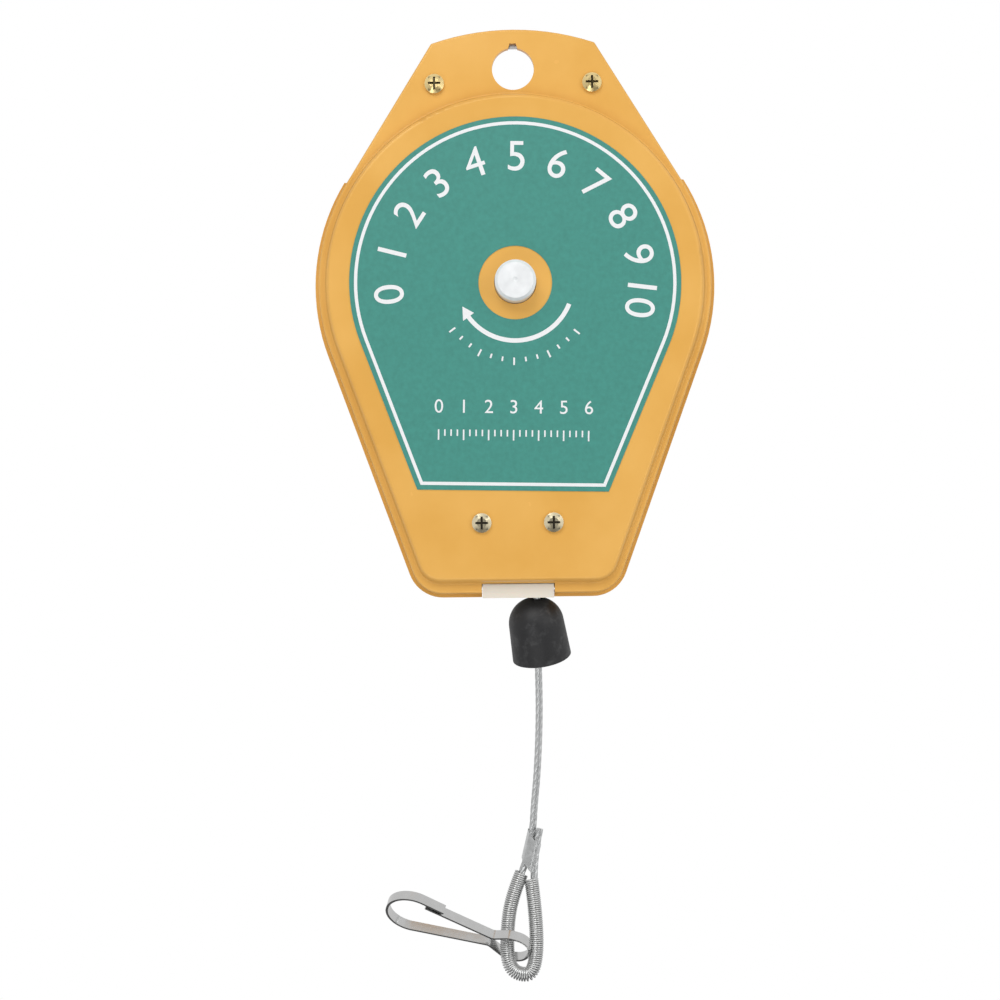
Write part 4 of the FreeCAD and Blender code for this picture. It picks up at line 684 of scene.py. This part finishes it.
def label_outline(inset):
    """Corners of the label's edge, moved inwards by the inset."""
    s = sizes()
    touch = label_corner_angle()
    steps = 72
    radius = s.label_radius - inset
    outline = [around(radius, touch + (math.pi - 2 * touch) * k / steps)
               for k in range(steps + 1)]
    low = inset - s.label_low
    half = (radius - low * math.sin(touch)) / math.cos(touch)
    return outline + [(-half, low), (half, low)]


class BALANCER_OT_border(bpy.types.Operator):
    """White line round the label"""
    bl_idname = "balancer.border"
    bl_label = "Label border"

    def execute(self, context):
        s = sizes()
        bm = bmesh.new()
        for inset in (s.border_inset, s.border_inset + s.border_width):
            corners = [bm.verts.new(on_label(x, z)) for x, z in label_outline(inset)]
            for k, corner in enumerate(corners):
                bm.edges.new((corners[k - 1], corner))
        line = bmesh.ops.bridge_loops(bm, edges=bm.edges)
        thicken(bm, line["faces"], -s.print_height)
        label_piece(bm, "label_border")
        return {"FINISHED"}


def arc_band(bm, radius, width, start, end, steps):
    """Flat band of the label along an arc, made by spinning one edge about the shaft."""
    ends = [bm.verts.new(on_label(*around(reach, start)))
            for reach in (radius - width / 2, radius + width / 2)]
    edge = bm.edges.new(ends)
    bmesh.ops.spin(bm, geom=[*ends, edge], cent=on_label(0, 0), axis=(0, -1, 0),
                   angle=end - start, steps=steps, use_merge=False)


class BALANCER_OT_arrow(bpy.types.Operator):
    """Curved arrow under the shaft and the plain marks of its scale"""
    bl_idname = "balancer.arrow"
    bl_label = "Arrow and scale"

    def execute(self, context):
        s = sizes()
        bm = bmesh.new()
        arc_band(bm, s.arrow_radius, s.arrow_width, s.arrow_start, s.arrow_end, steps=40)
        flat_face(bm, [around(s.arrow_radius, s.arrow_tip),
                       around(s.arrow_radius + s.arrow_head / 2, s.arrow_end),
                       around(s.arrow_radius - s.arrow_head / 2, s.arrow_end)])
        for k in range(s.scale_count):
            angle = s.scale_start - s.scale_step * k
            tall = s.scale_long if k % 3 == 0 else s.scale_short
            print_mark(bm, around(s.scale_radius, angle), around(1, angle), tall, s.scale_width)
        bmesh.ops.remove_doubles(bm, verts=bm.verts, dist=MERGE_DISTANCE)
        thicken(bm, list(bm.faces), -s.print_height)
        label_piece(bm, "label_arrow")
        return {"FINISHED"}


def text_mesh(text, height):
    """Text in the XY plane about its own middle, as thick as the print."""
    digit_share = 0.73
    data = bpy.data.curves.new("digits", "FONT")
    data.body = text
    data.size = height / digit_share
    data.align_x = "CENTER"
    data.align_y = "CENTER"
    data.extrude = sizes().print_height / 2
    return mesh_of(data)


def print_number(bm, number, height, x, z, lean=0.0):
    """Adds a number to the label's print, leaning clockwise."""
    s = sizes()
    mesh = text_mesh(str(number), height)
    upright = Matrix.Rotation(math.pi / 2, 4, "X")
    turned = Matrix.Rotation(lean + s.label_turn, 4, "Y")
    lift = Vector((0, -s.print_height / 2, 0))
    mesh.transform(Matrix.Translation(on_label(x, z) + lift) @ turned @ upright)
    bm.from_mesh(mesh)
    bpy.data.meshes.remove(mesh)


class BALANCER_OT_dial(bpy.types.Operator):
    """Plain numbers round the top of the label and in the row below"""
    bl_idname = "balancer.dial"
    bl_label = "Dial numbers"

    def execute(self, context):
        s = sizes()
        bm = bmesh.new()
        step = (s.dial_end - s.dial_start) / (s.dial_count - 1)
        for k in range(s.dial_count):
            angle = s.dial_start + step * k
            x, z = around(s.dial_radius, angle)
            print_number(bm, k, s.digit_height, x, z, lean=math.pi / 2 - angle)
        for k in range(s.row_count):
            x = (k - (s.row_count - 1) / 2) * s.row_spacing
            print_number(bm, k, s.row_height, x, -s.row_low)
        label_piece(bm, "label_numbers")
        bm = bmesh.new()
        parts = 4
        marks = parts * (s.row_count - 1) + 1
        for k in range(marks):
            x = (k - (marks - 1) / 2) * s.row_spacing / parts
            tall = s.row_long if k % parts == 0 else s.row_short
            print_mark(bm, (x, -s.row_low - s.row_marks_low), (0, -1), tall, s.row_width)
        thicken(bm, list(bm.faces), -s.print_height)
        label_piece(bm, "label_row_marks")
        return {"FINISHED"}


# ---------------------------------------------------------------- stage

def area_light(name, place, size, power):
    data = bpy.data.lights.new(name, "AREA")
    data.shape = "RECTANGLE"
    data.size, data.size_y = size
    data.energy = power
    lamp = bpy.data.objects.new(name, data)
    lamp.location = place
    way = Vector(LIGHT_AIM) - Vector(place)
    lamp.rotation_euler = way.to_track_quat("-Z", "Y").to_euler()
    bpy.context.scene.collection.objects.link(lamp)


def make_world():
    """White behind the object, softer as light; reflections darken to the front and below."""
    world = bpy.data.worlds.new("studio")
    world.use_nodes = True
    work = NodeWork(world.node_tree)
    rays = work.add("LightPath").outputs
    axes = work.axes(work.add("TexCoord").outputs["Generated"])
    shades = [work.ramp(axes[axis], darkest, 1.0, start, end)
              for axis, (darkest, start, end) in (("Y", FRONT_SHADE), ("Z", BELOW_SHADE))]
    seen = work.add("Background", Color=(1, 1, 1))
    light = work.add("Background", Color=ROOM_COLOUR, Strength=ROOM_STRENGTH)
    mirrored = work.add("Background", Color=MIRRORED_COLOUR,
                        Strength=work.maths("MULTIPLY", *shades))
    indirect = work.mix_shaders(rays["Is Glossy Ray"], light.outputs["Background"],
                                mirrored.outputs["Background"])
    direct = work.maths("MAXIMUM", rays["Is Camera Ray"], rays["Is Transmission Ray"])
    work.add("OutputWorld",
             Surface=work.mix_shaders(direct, indirect, seen.outputs["Background"]))
    bpy.context.scene.world = world


class BALANCER_OT_stage(bpy.types.Operator):
    """Camera, lights, white surroundings and render settings"""
    bl_idname = "balancer.stage"
    bl_label = "Stage"

    def execute(self, context):
        scene = context.scene
        data = bpy.data.cameras.new("camera")
        data.sensor_width = CAMERA_SENSOR
        data.lens = CAMERA_LENS
        data.clip_start, data.clip_end = CAMERA_RANGE
        data.dof.use_dof = False
        camera = bpy.data.objects.new("camera", data)
        camera.location = CAMERA_PLACE
        camera.rotation_euler = (CAMERA_TILT, CAMERA_ROLL, 0.0)
        scene.collection.objects.link(camera)
        scene.camera = camera
        for lamp in LIGHTS:
            area_light(*lamp)
        make_world()
        scene.render.engine = "CYCLES"
        scene.render.film_transparent = False
        scene.view_settings.view_transform = "Standard"
        scene.view_settings.look = "None"
        return {"FINISHED"}


class BALANCER_PT_panel(bpy.types.Panel):
    """Sizes, colours and pieces of the balancer"""
    bl_idname = "BALANCER_PT_panel"
    bl_label = "Spring tool balancer"
    bl_space_type = "VIEW_3D"
    bl_region_type = "UI"
    bl_category = "Balancer"

    def draw(self, context):
        for group in (sizes(), colours()):
            for key in group.__annotations__:
                self.layout.prop(group, key)
        for operator in OPERATORS:
            self.layout.operator(operator.bl_idname)


OPERATORS = (BALANCER_OT_stage, BALANCER_OT_finishes, BALANCER_OT_sleeve, BALANCER_OT_rope,
             BALANCER_OT_notch, BALANCER_OT_border, BALANCER_OT_arrow, BALANCER_OT_dial)
CLASSES = (BALANCER_PG_colours, BALANCER_PG_sizes, *OPERATORS, BALANCER_PT_panel)


def register():
    for item in CLASSES:
        bpy.utils.register_class(item)
    bpy.types.Scene.balancer_colours = PointerProperty(type=BALANCER_PG_colours)
    bpy.types.Scene.balancer_sizes = PointerProperty(type=BALANCER_PG_sizes)


def unregister():
    del bpy.types.Scene.balancer_sizes
    del bpy.types.Scene.balancer_colours
    for item in reversed(CLASSES):
        bpy.utils.unregister_class(item)


def main():
    register()
    bpy.ops.balancer.stage()
    bpy.ops.balancer.finishes()
    bpy.ops.balancer.sleeve()
    bpy.ops.balancer.rope()
    bpy.ops.balancer.notch()
    bpy.ops.balancer.border()
    bpy.ops.balancer.arrow()
    bpy.ops.balancer.dial()


if __name__ == "__main__":
    main()
